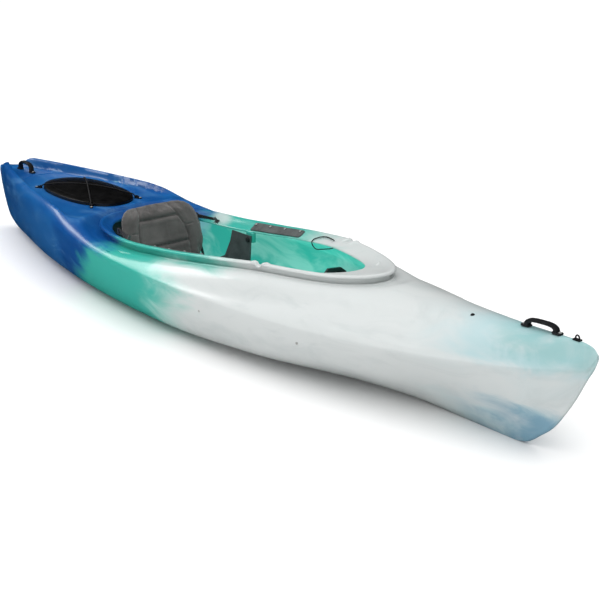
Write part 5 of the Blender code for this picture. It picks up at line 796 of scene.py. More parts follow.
def fine_hull():
    """The shell as one closed bmesh: outer skin, coaming, inner skin."""
    places, skin, lips = fine_columns()
    count, rows = skin.shape[:2]
    normal = -np.cross(np.gradient(skin, axis=0), np.gradient(skin, axis=1))
    normal[:, 0, 1] = 0
    normal[np.array([lip is None for lip in lips]), -1, 1] = 0
    normal /= np.maximum(np.linalg.norm(normal, axis=2, keepdims=True), 1e-9)
    inside = skin - normal * WALL
    inside[:, 1:-1, 1] = np.maximum(inside[:, 1:-1, 1], LEAST_HALF_WIDTH)
    bm = bmesh.new()
    shell = [[bm.verts.new(p) for p in column] for column in skin]
    lip = [None if points is None else [bm.verts.new(p) for p in points] for points in lips]
    within = [i for i in range(count) if INSIDE_FROM <= places[i] <= INSIDE_TO]
    lining = {}
    for i in within:
        lining[i] = [bm.verts.new(inside[i, row]) for row in (0, *range(1, rows - 1, LINING_STEP))]
        lining[i].append(lip[i][-1] if lip[i] else bm.verts.new(inside[i, -1]))

    def strip(before, after, slot):
        for a, b, c, d in zip(before, before[1:], after[1:], after):
            bm.faces.new((a, b, c, d)).material_index = slot

    for i in range(count - 1):
        strip(shell[i], shell[i + 1], 0)
        if lip[i] and lip[i + 1]:
            strip([shell[i][-1]] + lip[i], [shell[i + 1][-1]] + lip[i + 1], 0)
    for i, j in zip(within, within[1:]):
        strip(lining[j], lining[i], 1)
    bm.faces.new(shell[0][::-1])
    bm.faces.new(shell[-1])
    bm.faces.new(lining[within[0]]).material_index = 1
    bm.faces.new(lining[within[-1]][::-1]).material_index = 1
    twin = bmesh.ops.duplicate(bm, geom=bm.verts[:] + bm.edges[:] + bm.faces[:])["geom"]
    for v in twin:
        if isinstance(v, bmesh.types.BMVert):
            v.co.y *= -1
    bmesh.ops.reverse_faces(bm, faces=[f for f in twin if isinstance(f, bmesh.types.BMFace)])
    bmesh.ops.remove_doubles(bm, verts=[v for v in bm.verts if abs(v.co.y) < 1e-6], dist=1e-6)
    for face in bm.faces:
        face.smooth = True
    return bm


def hatch_outline(inset, z, scale=1.0, count=96):
    """A ring of the hatch's oval at a height, drawn in from the cover's edge."""
    ring = []
    for k in range(count):
        angle = 2 * math.pi * (k + 0.5) / count
        c, s = (rounded(v, 2 / HATCH_POWER) for v in (math.cos(angle), math.sin(angle)))
        x = HATCH_CENTRE + (HATCH_HALF_LENGTH - inset) * scale * c
        ring.append(Vector((x, (HATCH_HALF_WIDTH - inset) * scale * s, z)))
    return ring


def finished(bm):
    """The faces of a solid turned outwards and shaded smooth."""
    bmesh.ops.recalc_face_normals(bm, faces=bm.faces)
    for face in bm.faces:
        face.smooth = True
    return bm


def add_loft(bm, rings):
    """Adds a solid through rings of points, capped at its first and last ring."""
    verts = [[bm.verts.new(p) for p in ring] for ring in rings]
    for a, b in zip(verts, verts[1:]):
        for k in range(len(a)):
            j = (k + 1) % len(a)
            bm.faces.new((a[k], a[j], b[j], b[k]))
    bm.faces.new(verts[0][::-1])
    bm.faces.new(verts[-1])


def loft(rings):
    """A solid through rings of points."""
    bm = bmesh.new()
    add_loft(bm, rings)
    return finished(bm)


def applied(obj):
    """Applies an object's modifiers to its mesh."""
    graph = bpy.context.evaluated_depsgraph_get()
    made = bpy.data.meshes.new_from_object(obj.evaluated_get(graph))
    obj.modifiers.clear()
    old, obj.data = obj.data, made
    bpy.data.meshes.remove(old)


def boolean_applied(obj, bm, operation="UNION"):
    """Joins or cuts a solid, with the result applied."""
    cutter = mesh_object("cutter", bm)
    assign(obj.modifiers.new("boolean", "BOOLEAN"), operation=operation, solver="EXACT", object=cutter)
    applied(obj)
    bpy.data.objects.remove(cutter)


def along_route(points, i):
    """The direction of a route at its point i."""
    return (points[min(i + 1, len(points) - 1)] - points[max(i - 1, 0)]).normalized()


def bead(route, radius):
    """A rounded bead along a route, thinner at both ends."""
    points = smooth_route(route, BEAD_SPACING)[0]
    rings = []
    for i, place in enumerate(points):
        along = along_route(points, i)
        side = along.cross(UP).normalized()
        reach = radius * (0.25 + 0.75 * math.sin(math.pi * (i / (len(points) - 1))) ** 0.6)
        rings.append([place - UP * (radius * 0.5) + (side * math.cos(a) + side.cross(along) * math.sin(a)) * reach
                      for a in np.linspace(0, 2 * math.pi, 16, endpoint=False)])
    return loft(rings)


def make_hull():
    hull = new_mesh("hull_shell", fine_hull(), HULL, "hull")
    hull.data.materials.append(HULL_INSIDE)
    for inset, low, high, operation in HATCH_CUTS:
        ends = [hatch_outline(inset, TRAY_FLOOR + height, count=48) for height in (low, high)]
        boolean_applied(hull, loft(ends), operation)
    # Bosses under the flange hold the seat's bolts
    flange = Flange()
    points = [flange.point(SEAT_BOLT, share) for share in np.linspace(0, 1, 40)][::-1]
    ys, zs = [p.y for p in points], [p.z for p in points]
    for side in (1, -1):
        section = [(side * BOSS_INNER, BOSS_LOW), (side * BOSS_OUTER, BOSS_LOW)]
        for y in np.linspace(BOSS_OUTER, BOSS_INNER, 4):
            section.append((side * float(y), float(np.interp(y, ys, zs)) - WALL / 2))
        places = (SEAT_BOLT - BOSS_HALF_LENGTH, SEAT_BOLT + BOSS_HALF_LENGTH)
        boolean_applied(hull, loft([[Vector((x, y, z)) for y, z in section] for x in places]))
    for side in (1, -1):
        for corners in DECK_RECESSES:
            middle = sum((Vector(c) for c in corners), Vector()) / len(corners)
            ends = []
            for reach, lift in RECESS_RINGS:
                ring = [middle.lerp(Vector(corner), reach) for corner in corners]
                ends.append([Vector((x, y * side, z + lift)) for x, y, z in ring])
            boolean_applied(hull, loft(ends), "DIFFERENCE")
    boolean_applied(hull, bead(TRAY_BEAD, TRAY_BEAD_RADIUS))
    boolean_applied(hull, bead([flange.point(*at) for at in FLANGE_BEAD], FLANGE_BEAD_RADIUS))
    # A moulded step follows the foot of the coaming's riser, all but across the stern
    foot = []
    for angle in np.linspace(-FOOT_BEAD_TURN, FOOT_BEAD_TURN, 121):
        x, y, z = coaming_point(abs(angle), FOOT_BEAD_OUT - LIP_OVERHANG, -COAMING_RISE)
        foot.append((x, math.copysign(y, angle), float(deck_height(x, y))))
    boolean_applied(hull, bead(foot, FOOT_BEAD_RADIUS))
    for polygon in hull.data.polygons:
        polygon.use_smooth = True
    stands_for(hull, "hull", 42)


# Sizes and routes of the fittings. Those that the CAD source has too keep its numbers

KEEPER_DIAMETER = 0.004
KEEPER_ROUTE = (
    (0.4297, 0.2012, 0.3571), (0.4259, 0.1991, 0.3614), (0.4044, 0.2081, 0.3582), (0.3794, 0.2143, 0.3570),
    (0.3544, 0.2174, 0.3539), (0.3314, 0.2156, 0.3482), (0.3174, 0.2086, 0.3422), (0.3114, 0.1996, 0.3378),
    (0.3140, 0.1870, 0.3311), (0.3200, 0.1862, 0.3189), (0.3340, 0.1843, 0.3116), (0.3520, 0.1818, 0.3109),
    (0.3760, 0.1837, 0.3159), (0.4000, 0.1857, 0.3219), (0.4220, 0.1872, 0.3277), (0.4423, 0.1866, 0.3368),
    (0.4453, 0.1840, 0.3420),
)
HATCH_CORD = (
    (0, 0.3391), (0.0324, 0.3386), (0.0648, 0.3373), (0.0970, 0.3350), (0.1294, 0.3318), (0.1618, 0.3276),
    (0.1941, 0.3226), (0.2264, 0.3171), (0.2340, 0.3148), (0.2405, 0.3078), (0.2445, 0.3066), (0.2539, 0.3066),
    (0.2607, 0.3066),
)
HATCH_CORD_CROSSING = {0: 0.0056, 0.0324: 0.0014}
HATCH_CORD_DIRECTION = (0.88954, 0.45686)
COVER_SKIRT, COVER_CROWN, COVER_WALL, COVER_SHOULDER = 0.016, 0.022, 0.004, 0.005
DOME_STEP, DOME_STEP_UP, DOME_STEP_DOWN = 0.0006, (0.50, 0.545), (0.72, 0.80)
DOME_GROOVE, DOME_GROOVE_SHARE = 0.0007, 0.84
BACKREST_FOOT, BACKREST_FOOT_X, BACKREST_HEIGHT, BACKREST_HALF_WIDTH = 0.100, -0.390, 0.252, 0.198
BACKREST_LEAN, BACKREST_WRAP, BACKREST_PAD, PAD_BACK = 22.0, 0.045, 0.034, -0.022
STRAP_REAR, STRAP_FRONT, STRAP_WIDTH = (-0.4406, 0.1905, 0.2779), (-0.3483, 0.2125, 0.2780), 0.016
CUSHION_REAR, CUSHION_FRONT, CUSHION_HALF_WIDTH, CUSHION_THICKNESS = -0.335, -0.042, 0.145, 0.034
CUSHION_BASE, REAR_LIFT, FRONT_LIFT = 0.0163, 0.020, 0.012
REAR_LIFT_SPAN, FRONT_LIFT_SPAN = (-0.415, -0.335), (-0.110, -0.030)
PAD_REAR, PAD_FRONT, THIGH_SCREWS = -0.120, 0.210, (-0.105, -0.010, 0.088, 0.190)
BOSS_INNER, BOSS_OUTER, BOSS_LOW, BOSS_HALF_LENGTH = 0.2066, 0.2226, 0.234, 0.021
SCREW_HEAD, SCREW_RISE, SCREW_SHANK, CROSS_ARM, CROSS_TIP = 0.0052, 0.0026, 0.0024, 0.00052, 0.0021
DECK_RECESSES = (
    ((-0.289, 0.303, 0.2600), (-0.192, 0.299, 0.2650), (-0.201, 0.326, 0.2600)),
    ((-0.327, 0.330, 0.2545), (-0.292, 0.329, 0.2555), (-0.300, 0.338, 0.2520)),
)
RECESS_DEPTH = 0.004
RECESS_RINGS = ((0.55, -RECESS_DEPTH), (1.45, RECESS_DEPTH))
HATCH_CUTS = (
    (HATCH_HOLE_INSET - HATCH_RIM_WALL, -WALL / 2, HATCH_RIM_HEIGHT, "UNION"),
    (HATCH_HOLE_INSET, -0.05, 0.05, "DIFFERENCE"),
)
TRAY_BEAD = [(-1.440 - 0.035 * math.cos(y / 0.085 * 1.4), y, TRAY_FLOOR) for y in np.linspace(-0.085, 0.085, 9)]
FLANGE_BEAD = ((0.770, 0.30), (0.785, 0.42), (0.797, 0.58))
FOOT_BEAD_TURN, FOOT_BEAD_OUT, FOOT_BEAD_RADIUS = math.radians(140), 0.0105, 0.0082
BEAD_SPACING, TRAY_BEAD_RADIUS, FLANGE_BEAD_RADIUS = 0.006, 0.0065, 0.0075
HANDLES = (("bow", 1.556, 1.677, 0.3778, 0.3844, 0.4126), ("stern", -1.640, -1.525, 0.2983, 0.2983, 0.3460))
GRIP_WIDTH, GRIP_THICKNESS, GRIP_RIB, GRIP_RIB_PITCH, GRIP_POINTS = 0.0215, 0.0110, 0.0005, 0.0058, 45
GRIP_BEND, GRIP_ROUNDING, GRIP_SWELL, FOOT_ROUNDING = 0.62, 0.55, (0.0015, 0.0060), 0.45
FOOT_HALF_LENGTH, FOOT_HALF_WIDTH, FOOT_HEIGHT = 0.017, 0.012, 0.006
FOOT_RINGS = ((0.0008, 0), (0, 0.0010), (0, 0.0042), (0.0006, 0.0054), (0.0018, FOOT_HEIGHT))
HATCH_CORD_SPACING, KEEPER_SPACING = 0.0075, 0.006
STITCH_PITCH, STITCH_LENGTH, STITCH_WIDTH, STITCH_HEIGHT, STITCH_ROOT = 0.0052, 0.0036, 0.0009, 0.0005, 0.0006
THREAD_TURN, THREAD_SHARE, THREAD_START, RECESS_SHARE, CROSS_DEPTH = 0.0012, 0.80, 0.0008, 0.7, 0.0015
PAD_GAP, PAD_THICKNESS, PAD_CORNER, PAD_RIM, PAD_GROOVE, PAD_BORDER = 0.0006, 0.0058, 0.010, 0.022, 0.0008, 0.74
PAD_MIDDLE, PAD_REACH, PAD_SCREW_SHARE, PAD_RING, PAD_RING_RADIUS = 0.52, 0.38, 0.32, 0.0011, 0.0088
WEBBING_SECTION = (
    (-1, -0.6), (-0.92, -1), (0, -1), (0.92, -1), (1, -0.6), (1, 0.6), (0.92, 1), (0, 1), (-0.92, 1), (-1, 0.6),
)
WEBBING_HALF_THICKNESS, WEBBING_FOLD = 0.0008, 0.9
# The bevel of each CAD piece that stays in view, by the first of these words that its name holds
EDGE_WIDTHS = (
    ("screw", 0), ("cord", 0), ("foam", 0.004), ("handle", 0.0014), ("eyelet", 0.0007), ("cleat", 0.0007),
    ("rail", 0.0006), ("pedal_lever", 0.0007), ("foot_pedal", 0.0012), ("buckle", 0.0005), ("anchor", 0.0005),
    ("frame", 0.0012), ("seat_pan", 0.0009), ("seat_bolt", 0.0010), ("plug", 0.0010), ("deck_fitting", 0.0008),
    ("gasket", 0.0010), ("hinge_pin", 0.0005),
)
REPLACED = set()


def stands_for(obj, node, sharp=0):
    """The piece takes the place of a CAD node. Edges over the angle `sharp`, in degrees, are shaded as edges."""
    if sharp:
        obj.data.set_sharp_from_angle(angle=math.radians(sharp))
    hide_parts(node)
    REPLACED.add(node)
    return obj


def cord_curve(name, points, diameter, body, node):
    """A shock cord as a curve through the given points."""
    data = assign(bpy.data.curves.new(name, "CURVE"), dimensions="3D", bevel_depth=diameter / 2, bevel_resolution=4)
    data.use_fill_caps = True
    spline = data.splines.new("POLY")
    spline.points.add(len(points) - 1)
    for point, place in zip(spline.points, points):
        point.co = (*place, 1)
    data.materials.append(CORD)
    cord = linked(name, data)
    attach(cord, body)
    return stands_for(cord, node)


def smooth_route(points, spacing):
    """Even points along a smooth curve through a route's points, and the curve's length."""
    fine = curve_through([Vector(p) for p in points], 16)
    lengths = np.cumsum([0] + [(b - a).length for a, b in zip(fine, fine[1:])])
    places = np.linspace(0, lengths[-1], max(2, int(round(lengths[-1] / spacing))) + 1)
    return [Vector(p) for p in zip(*(np.interp(places, lengths, axis) for axis in np.array(fine).T))], lengths[-1]


def make_cords():
    """The paddle keeper's loop and the two shock cords crossed over the hatch cover."""
    points, length = smooth_route(KEEPER_ROUTE, KEEPER_SPACING)
    keeper = cord_curve("keeper_loop", points, KEEPER_DIAMETER, "hull", "paddle_keeper")
    tuple(points[0])
    for number, sign in ((1, 1), (2, -1)):
        direction = Vector((HATCH_CORD_DIRECTION[0], HATCH_CORD_DIRECTION[1] * sign, 0))
        crossing = HATCH_CORD_CROSSING if number == 2 else {}
        half = [(along, height + crossing.get(along, 0)) for along, height in HATCH_CORD]
        whole = [(-along, height) for along, height in reversed(half[1:])] + half
        route = [Vector((HATCH_CENTRE, 0, height)) + direction * along for along, height in whole]
        points, length = smooth_route(route, HATCH_CORD_SPACING)
        cord = cord_curve(f"hatch_shock_cord_{number}", points, 0.005, "hatch", f"hatch_cord_{number}")
        tuple(points[0])


def grid_solid(front, back):
    """A closed mesh between two grids of points that share their number of rows and columns."""
    bm = bmesh.new()
    top, under = ([[bm.verts.new(p) for p in row] for row in grid] for grid in (front, back))
    for grid, step in ((top, 1), (under, -1)):
        for a, b in zip(grid, grid[1:]):
            for corners in zip(a, a[1:], b[1:], b):
                bm.faces.new(corners[::step])

    def border(grid):
        right, left = [row[-1] for row in grid[:-1]], [row[0] for row in grid[:0:-1]]
        return grid[0][:-1] + right + grid[-1][:0:-1] + left

    over, below = border(top), border(under)
    for k in range(len(over)):
        j = (k + 1) % len(over)
        bm.faces.new((over[k], below[k], below[j], over[j]))
    return finished(bm)


def values_of(mesh, kind="co"):
    """The mesh's vertex coordinates, or its normals, as rows."""
    values = np.empty(len(mesh.vertices) * 3)
    mesh.vertices.foreach_get(kind, values)
    return values.reshape(-1, 3)


COVER_VOXEL, CLOTH_FRAMES = 0.005, 20
CLOTH = {
    "quality": 4, "mass": 0.3, "tension_stiffness": 12, "compression_stiffness": 12, "shear_stiffness": 6,
    "bending_stiffness": 0.35, "use_pressure": True, "uniform_pressure_force": 4, "shrink_min": -0.035,
}
RAY_START, STITCH_LIFT = 0.15, 0.0001


def stuffed(obj, cap, hold):
    """Fills a closed cover: it is remeshed, swells in a cloth simulation and is subdivided once.

    No point swells by more than cap, and those that hold picks keep their place.
    """
    assign(obj.modifiers.new("remesh", "REMESH"), mode="VOXEL", voxel_size=COVER_VOXEL)
    assign(obj.modifiers.new("relax", "SMOOTH"), factor=0.5, iterations=3)
    applied(obj)
    rest = values_of(obj.data)
    cloth = obj.modifiers.new("cloth", "CLOTH")
    assign(cloth.settings, **CLOTH)
    cloth.settings.effector_weights.gravity = 0
    cloth.collision_settings.use_collision = False
    group = obj.vertex_groups.new(name="held")
    group.add([int(i) for i in np.nonzero(hold(rest))[0]], 1.0, "REPLACE")
    cloth.settings.vertex_group_mass = "held"
    for number in range(1, CLOTH_FRAMES + 1):
        scene.frame_set(number)
    swollen = obj.evaluated_get(bpy.context.evaluated_depsgraph_get()).to_mesh()
    moved = values_of(swollen) - rest
    obj.modifiers.clear()
    scene.frame_set(1)
    length = np.linalg.norm(moved, axis=1, keepdims=True)
    moved *= np.minimum(1, cap / np.maximum(length, 1e-9))
    obj.data.vertices.foreach_set("co", (rest + moved).ravel())
    assign(obj.modifiers.new("finer", "SUBSURF"), levels=1, render_levels=1)
    applied(obj)


def pressed(obj, depth_at):
    """Presses seams and channels into a cover: depth_at gives how deep each point goes, along its normal."""
    mesh = obj.data
    places, normals = values_of(mesh), values_of(mesh, "normal")
    mesh.vertices.foreach_set("co", (places - normals * depth_at(places, normals)[:, None]).ravel())
    mesh.polygons.foreach_set("use_smooth", [True] * len(mesh.polygons))
    mesh.update()


def valley(distance, width):
    return np.exp(-((distance / width) ** 2))


def grooves(distance, *pairs):
    """Valleys of given depths and widths, one in the other."""
    return sum(depth * valley(distance, width) for depth, width in pairs)


def window(value, low, high, soft):
    return smoothstep(low - soft, low + soft, value) * (1 - smoothstep(high - soft, high + soft, value))


def make_cover(name, node, body, faces, grid, cap, hold, depth_at):
    """A padded cover between its front and its back, which are functions of two shares."""
    us, vs = grid
    solid = grid_solid(*([[face(u, v) for u in us] for v in vs] for face in faces))
    cover = new_mesh(name, solid, FABRIC, body)
    stuffed(cover, cap, hold)
    pressed(cover, depth_at)
    return stands_for(cover, node)


def stitches(name, target, lines, direction, body):
    """Rows of raised stitches laid on a cover's surface, which each point reaches along a direction."""
    bm = bmesh.new()
    direction = Vector(direction).normalized()
    for line in lines:
        found = []
        for point in smooth_route(line, STITCH_PITCH / 4)[0]:
            hit, place, normal, _ = target.ray_cast(Vector(point) - direction * RAY_START, direction)
            if hit:
                found.append((place, normal))
        for k in range(2, len(found) - 4, 4):
            along = found[k + 2][0] - found[k][0]
            if along.length < 1e-6 or along.length > 2 * STITCH_PITCH:
                continue
            place, normal = found[k + 1]
            along = along.normalized()
            across = normal.cross(along).normalized() * (STITCH_WIDTH / 2)
            along *= STITCH_LENGTH / 2
            corners = [place + along, place + across, place - along, place - across]
            add_loft(bm, [[p - normal * STITCH_ROOT for p in corners], [p + normal * STITCH_LIFT for p in corners],
                          [place.lerp(p, 0.45) + normal * STITCH_HEIGHT for p in corners]])
    bmesh.ops.recalc_face_normals(bm, faces=bm.faces)
    new_mesh(name, bm, THREAD, body)


BACKREST_OUTLINE = smooth_line(
    (0, 0.64), (0.2, 0.86), (0.4, 0.945), (0.6, 0.955), (0.79, 0.915), (0.89, 0.85), (0.95, 0.76), (1, 0.58),
)
BOLSTER_SEAM = smooth_line((0.150, 0.112), (0.194, 0.117), (0.256, 0.112), (0.296, 0.094), (0.345, 0.074))
BACK_CHANNELS = (0.193, 0.298)
BACKREST_FACING = (0.93, 0, 0.37)
BOLSTER_SPAN, BRANCH_SPAN, BRANCH_HEIGHT, BRANCH_SLOPE = (0.135, 0.348, 0.008), (0.118, 0.152, 0.006), 0.257, 0.12
SEAM_STITCH, CHANNEL_STITCH = 0.0045, 0.0050
# Grooves, as pairs of depth and width, one in the other
BACK_GROOVE, BOLSTER_GROOVE = ((0.0052, 0.0062), (0.0016, 0.0018)), ((0.0042, 0.0052), (0.0014, 0.0016))
# Swellings and seams, as height or depth, place and width
CHANNEL_SWELL, BOLSTER_SWELL, BORDER_SEAM = (0.0018, 0.016, 0.009), (0.0030, 0.024, 0.016), (0.0010, 0.28, 0.09)
GATHER_DEPTH, FRONT_INSET, BACK_INSET, COVER_FOOT, COVER_SHARE = 0.00055, 0.985, 0.97, 0.015, 0.97
CUSHION_GROOVE, CUSHION_GROOVE_SPAN, CUSHION_BORDER = ((0.0060, 0.0065), (0.0015, 0.0018)), (0.112, 0.128), 0.020


def backrest_plane(y, z):
    """Where the backrest's middle surface lies along the hull."""
    lean = math.tan(math.radians(BACKREST_LEAN)) * (z - BACKREST_FOOT)
    return BACKREST_FOOT_X - lean + BACKREST_WRAP * (abs(y) / BACKREST_HALF_WIDTH) ** 2.2


def channel_dip(y):
    """How far a channel across the backrest rises towards its ends."""
    return 0.004 * (y / 0.1) ** 2


def backrest_point(u, v, depth):
    v = COVER_FOOT + v * COVER_SHARE
    z = BACKREST_FOOT + v * BACKREST_HEIGHT
    y = u * BACKREST_HALF_WIDTH * float(BACKREST_OUTLINE(v))
    return Vector((backrest_plane(y, z) + depth, y, z))


def make_backrest():
    """The padded cover: two side bolsters and a centre panel with two channels across it."""

    def front(u, v):
        crown = (1 - abs(u) ** 7) * (1 - abs(2 * v - 1) ** 7)
        return backrest_point(u * FRONT_INSET, v, PAD_BACK + BACKREST_PAD * (0.40 + 0.50 * crown))

    def back(u, v):
        return backrest_point(u * BACK_INSET, v, PAD_BACK)

    def hold(p):
        return p[:, 0] < backrest_plane(p[:, 1], p[:, 2]) + PAD_BACK + 0.004

    def depth_at(p, n):
        y, z = np.abs(p[:, 1]), p[:, 2]
        forward = n @ np.array(BACKREST_FACING)
        seam = BOLSTER_SEAM(z)
        inside = 1 - smoothstep(seam - 0.004, seam + 0.002, y)
        depth = np.zeros(len(p))
        height, away, width = CHANNEL_SWELL
        for place in BACK_CHANNELS:
            off = z - (place + channel_dip(y))
            depth += inside * grooves(off, *BACK_GROOVE)
            depth -= inside * height * (valley(off - away, width) + valley(off + away, width))
        along = window(z, *BOLSTER_SPAN)
        depth += along * grooves(y - seam, *BOLSTER_GROOVE)
        height, away, width = BOLSTER_SWELL
        depth -= along * height * valley(y - seam - away, width)
        branch = window(y, *BRANCH_SPAN)
        depth += branch * 0.0026 * valley(z - BRANCH_HEIGHT - BRANCH_SLOPE * (y - BRANCH_SPAN[0]), 0.0034)
        # Small gathers run into the seams
        gather = np.sin(z * 420 + np.sin(z * 90) * 2) * np.exp(-np.abs(y - seam) / 0.009)
        pull = np.sin(y * 330 + np.sin(y * 70) * 2)
        for place in BACK_CHANNELS:
            gather += inside * pull * np.exp(-np.abs(z - place) / 0.008)
        depth += GATHER_DEPTH * gather
        # The front panel meets the border panel in a seam all round
        deep, level, width = BORDER_SEAM
        return depth * smoothstep(0.1, 0.5, forward) + deep * valley(np.abs(forward - level), width)

    grid = np.linspace(-1, 1, 41), np.linspace(0, 1, 33)
    pad = make_cover("backrest_cover", "backrest_pad", "backrest", (front, back), grid, 0.006, hold, depth_at)

    def before(y, z, level):
        return Vector((-0.38 - 0.4 * (level - 0.1), y, z))

    rows = []
    for side in (-1, 1):
        for off in (-SEAM_STITCH, SEAM_STITCH):
            levels = [float(z) for z in np.linspace(0.15, 0.342, 14)]
            rows.append([before(side * (float(BOLSTER_SEAM(z)) + off), z, z) for z in levels])
    for place in BACK_CHANNELS:
        for off in (-CHANNEL_STITCH, CHANNEL_STITCH):
            reach = float(BOLSTER_SEAM(place)) - 0.008
            across = np.linspace(-reach, reach, 12)
            rows.append([before(y, place + off + channel_dip(y), place) for y in across])
    stitches("backrest_stitches", pad, rows, -Vector(BACKREST_FACING), "backrest")


def make_cushion():
    """The seat's cushion, with a channel across it and a seam round its top."""
    middle, half = (CUSHION_REAR + CUSHION_FRONT) / 2, (CUSHION_FRONT - CUSHION_REAR) / 2

    def lift(x):
        return REAR_LIFT * (1 - smoothstep(*REAR_LIFT_SPAN, x)) + FRONT_LIFT * smoothstep(*FRONT_LIFT_SPAN, x)

    def place(u, v, height):
        corner = 1 - 0.09 * abs(u * v) ** 3
        x = middle + v * half * corner
        return Vector((x, u * CUSHION_HALF_WIDTH * corner * (1 - 0.05 * (1 - v * v) * abs(u) ** 3),
                       CUSHION_BASE + float(lift(x)) + height))

    def top(u, v):
        crown = (1 - abs(u) ** 5) * (1 - abs(v) ** 5)
        return place(u, v, CUSHION_THICKNESS * (0.55 + 0.38 * crown))

    def under(u, v):
        return place(u * BACK_INSET, v * BACK_INSET, 0.0)

    def hold(p):
        return p[:, 2] < CUSHION_BASE + lift(p[:, 0]) + 0.006

    def depth_at(p, n):
        y, x = np.abs(p[:, 1]), p[:, 0]
        inset = np.maximum(y - (CUSHION_HALF_WIDTH - CUSHION_BORDER), np.abs(x - middle) - (half - CUSHION_BORDER))
        depth = grooves(x - middle, *CUSHION_GROOVE) * (1 - smoothstep(*CUSHION_GROOVE_SPAN, y))
        depth += 0.0026 * valley(inset, 0.0042)
        depth += 0.0005 * np.sin(y * 300 + np.sin(y * 80)) * valley(x - middle, 0.014)
        return depth * smoothstep(0.2, 0.6, n[:, 2])

    grid = np.linspace(-1, 1, 37), np.linspace(-1, 1, 35)
    cushion = make_cover("seat_cushion_cover", "seat_cushion", "hull", (top, under), grid, 0.0035, hold, depth_at)
    rows = [[Vector((middle + off, y, 0.2)) for y in np.linspace(-0.115, 0.115, 12)]
            for off in (-CHANNEL_STITCH, CHANNEL_STITCH)]
    stitches("cushion_stitches", cushion, rows, (0, 0, -1), "hull")


def make_hatch_cover():
    """The domed cover: a rolled shoulder, a groove round the dome, a skirt with a bead, hollow underneath."""
    edge, foot = TRAY_FLOOR + COVER_SKIRT, TRAY_FLOOR + 0.0003
    wall, shoulder = COVER_WALL, COVER_SHOULDER

    def dome(share):
        step = DOME_STEP * smoothstep(*DOME_STEP_UP, share) * (1 - smoothstep(*DOME_STEP_DOWN, share))
        groove = DOME_GROOVE * valley(share - DOME_GROOVE_SHARE, 0.022)
        return float(edge + COVER_CROWN * (1 - share**2) - groove - step)

    shares = np.concatenate([[0.02, 0.10, 0.2, 0.3, 0.4, 0.47], np.linspace(0.50, 0.56, 5), np.linspace(0.60, 0.78, 7),
                             np.linspace(0.80, 0.88, 9), [0.91, 0.95, 1.0]])
    rings = [hatch_outline(shoulder, dome(s), s) for s in shares]
    for turn in [math.radians(angle) for angle in np.linspace(15, 90, 6)]:
        rings.append(hatch_outline(shoulder * (1 - math.sin(turn)), edge - 0.0006 - shoulder * (1 - math.cos(turn))))
    skirt = ((0, edge - 0.0075), (0.0008, edge - 0.0083), (0.0008, edge - 0.0102), (0, edge - 0.0110),
             (0, foot + 0.0008), (0.0006, foot), (wall, foot), (wall, edge - wall - 0.002))
    rings += [hatch_outline(inset, z) for inset, z in skirt]
    for share in (1.0, 0.8, 0.55, 0.3, 0.05):
        rings.append(hatch_outline(shoulder + wall, edge + COVER_CROWN * (1 - share**2) - wall - 0.0014, share))
    stands_for(new_mesh("hatch_dome", loft(rings), HATCH, "hatch"), "hatch_cover", 50)


class Flange:
    """The coaming's sloping flange at port, as points by x and share from under the lip to the opening."""

    def __init__(self):
        rows = []
        for angle in np.linspace(0.02, math.pi - 0.02, 720)[::-1]:
            line = coaming_line(angle)
            before, after = (line[k] for k in FLANGE_EDGE)
            rows.append((line[FLANGE_TOP], line[FLANGE_MIDDLE], before.lerp(after, 0.5)))
        self.rows = np.array(rows).swapaxes(0, 1)

    def point(self, x, share):
        top, middle, edge = (
            Vector((x, float(np.interp(x, row[:, 0], row[:, 1])), float(np.interp(x, row[:, 0], row[:, 2]))))
            for row in self.rows
        )
        return top.lerp(middle, share * 2) if share < 0.5 else middle.lerp(edge, share * 2 - 1)

    def normal(self, x, share):
        along = self.point(x + 0.01, share) - self.point(x - 0.01, share)
        down = self.point(x, 1) - self.point(x, 0)
        return along.cross(down).normalized() * -1


def make_grip(name, rear, front, low_rear, low_front, top):
    """The grip: a flat ribbed bow that thickens towards its ends."""
    middle, half = (rear + front) / 2, (front - rear) / 2 - 0.004
    level = (low_rear + low_front) / 2 + FOOT_HEIGHT / 2
    path = []
    for angle in np.linspace(math.pi, 0, GRIP_POINTS):
        c, s = math.cos(angle), max(0.0, math.sin(angle))
        x = middle + half * rounded(c, GRIP_BEND)
        slope = (low_front - low_rear) / (front - rear) * (x - middle)
        path.append(Vector((x, 0, level + slope + (top - GRIP_THICKNESS / 2 - 3 * GRIP_RIB - level) * s**GRIP_BEND)))
    rings = []
    for i, place in enumerate(path):
        along = along_route(path, i)
        out = Vector((-along.z, 0, along.x))
        swell = 1 - float(smoothstep(0.0, 0.75, (place.z - level) / (top - level)))
        wide, thick = (size + more * swell for size, more in zip((GRIP_WIDTH, GRIP_THICKNESS), GRIP_SWELL))
        ring = []
        for a in np.linspace(0, 2 * math.pi, 48, endpoint=False):
            y, s = wide / 2 * rounded(math.cos(a), GRIP_ROUNDING), math.sin(a)
            rib = GRIP_RIB * math.cos(2 * math.pi * y / GRIP_RIB_PITCH) * (1 - swell) * float(s > 0.3)
            ring.append(place + Vector((0, y, 0)) + out * (thick / 2 * rounded(s, GRIP_ROUNDING) + rib))
        rings.append(ring)
    return new_mesh(f"{name}_grip", loft(rings), BLACK, "hull")


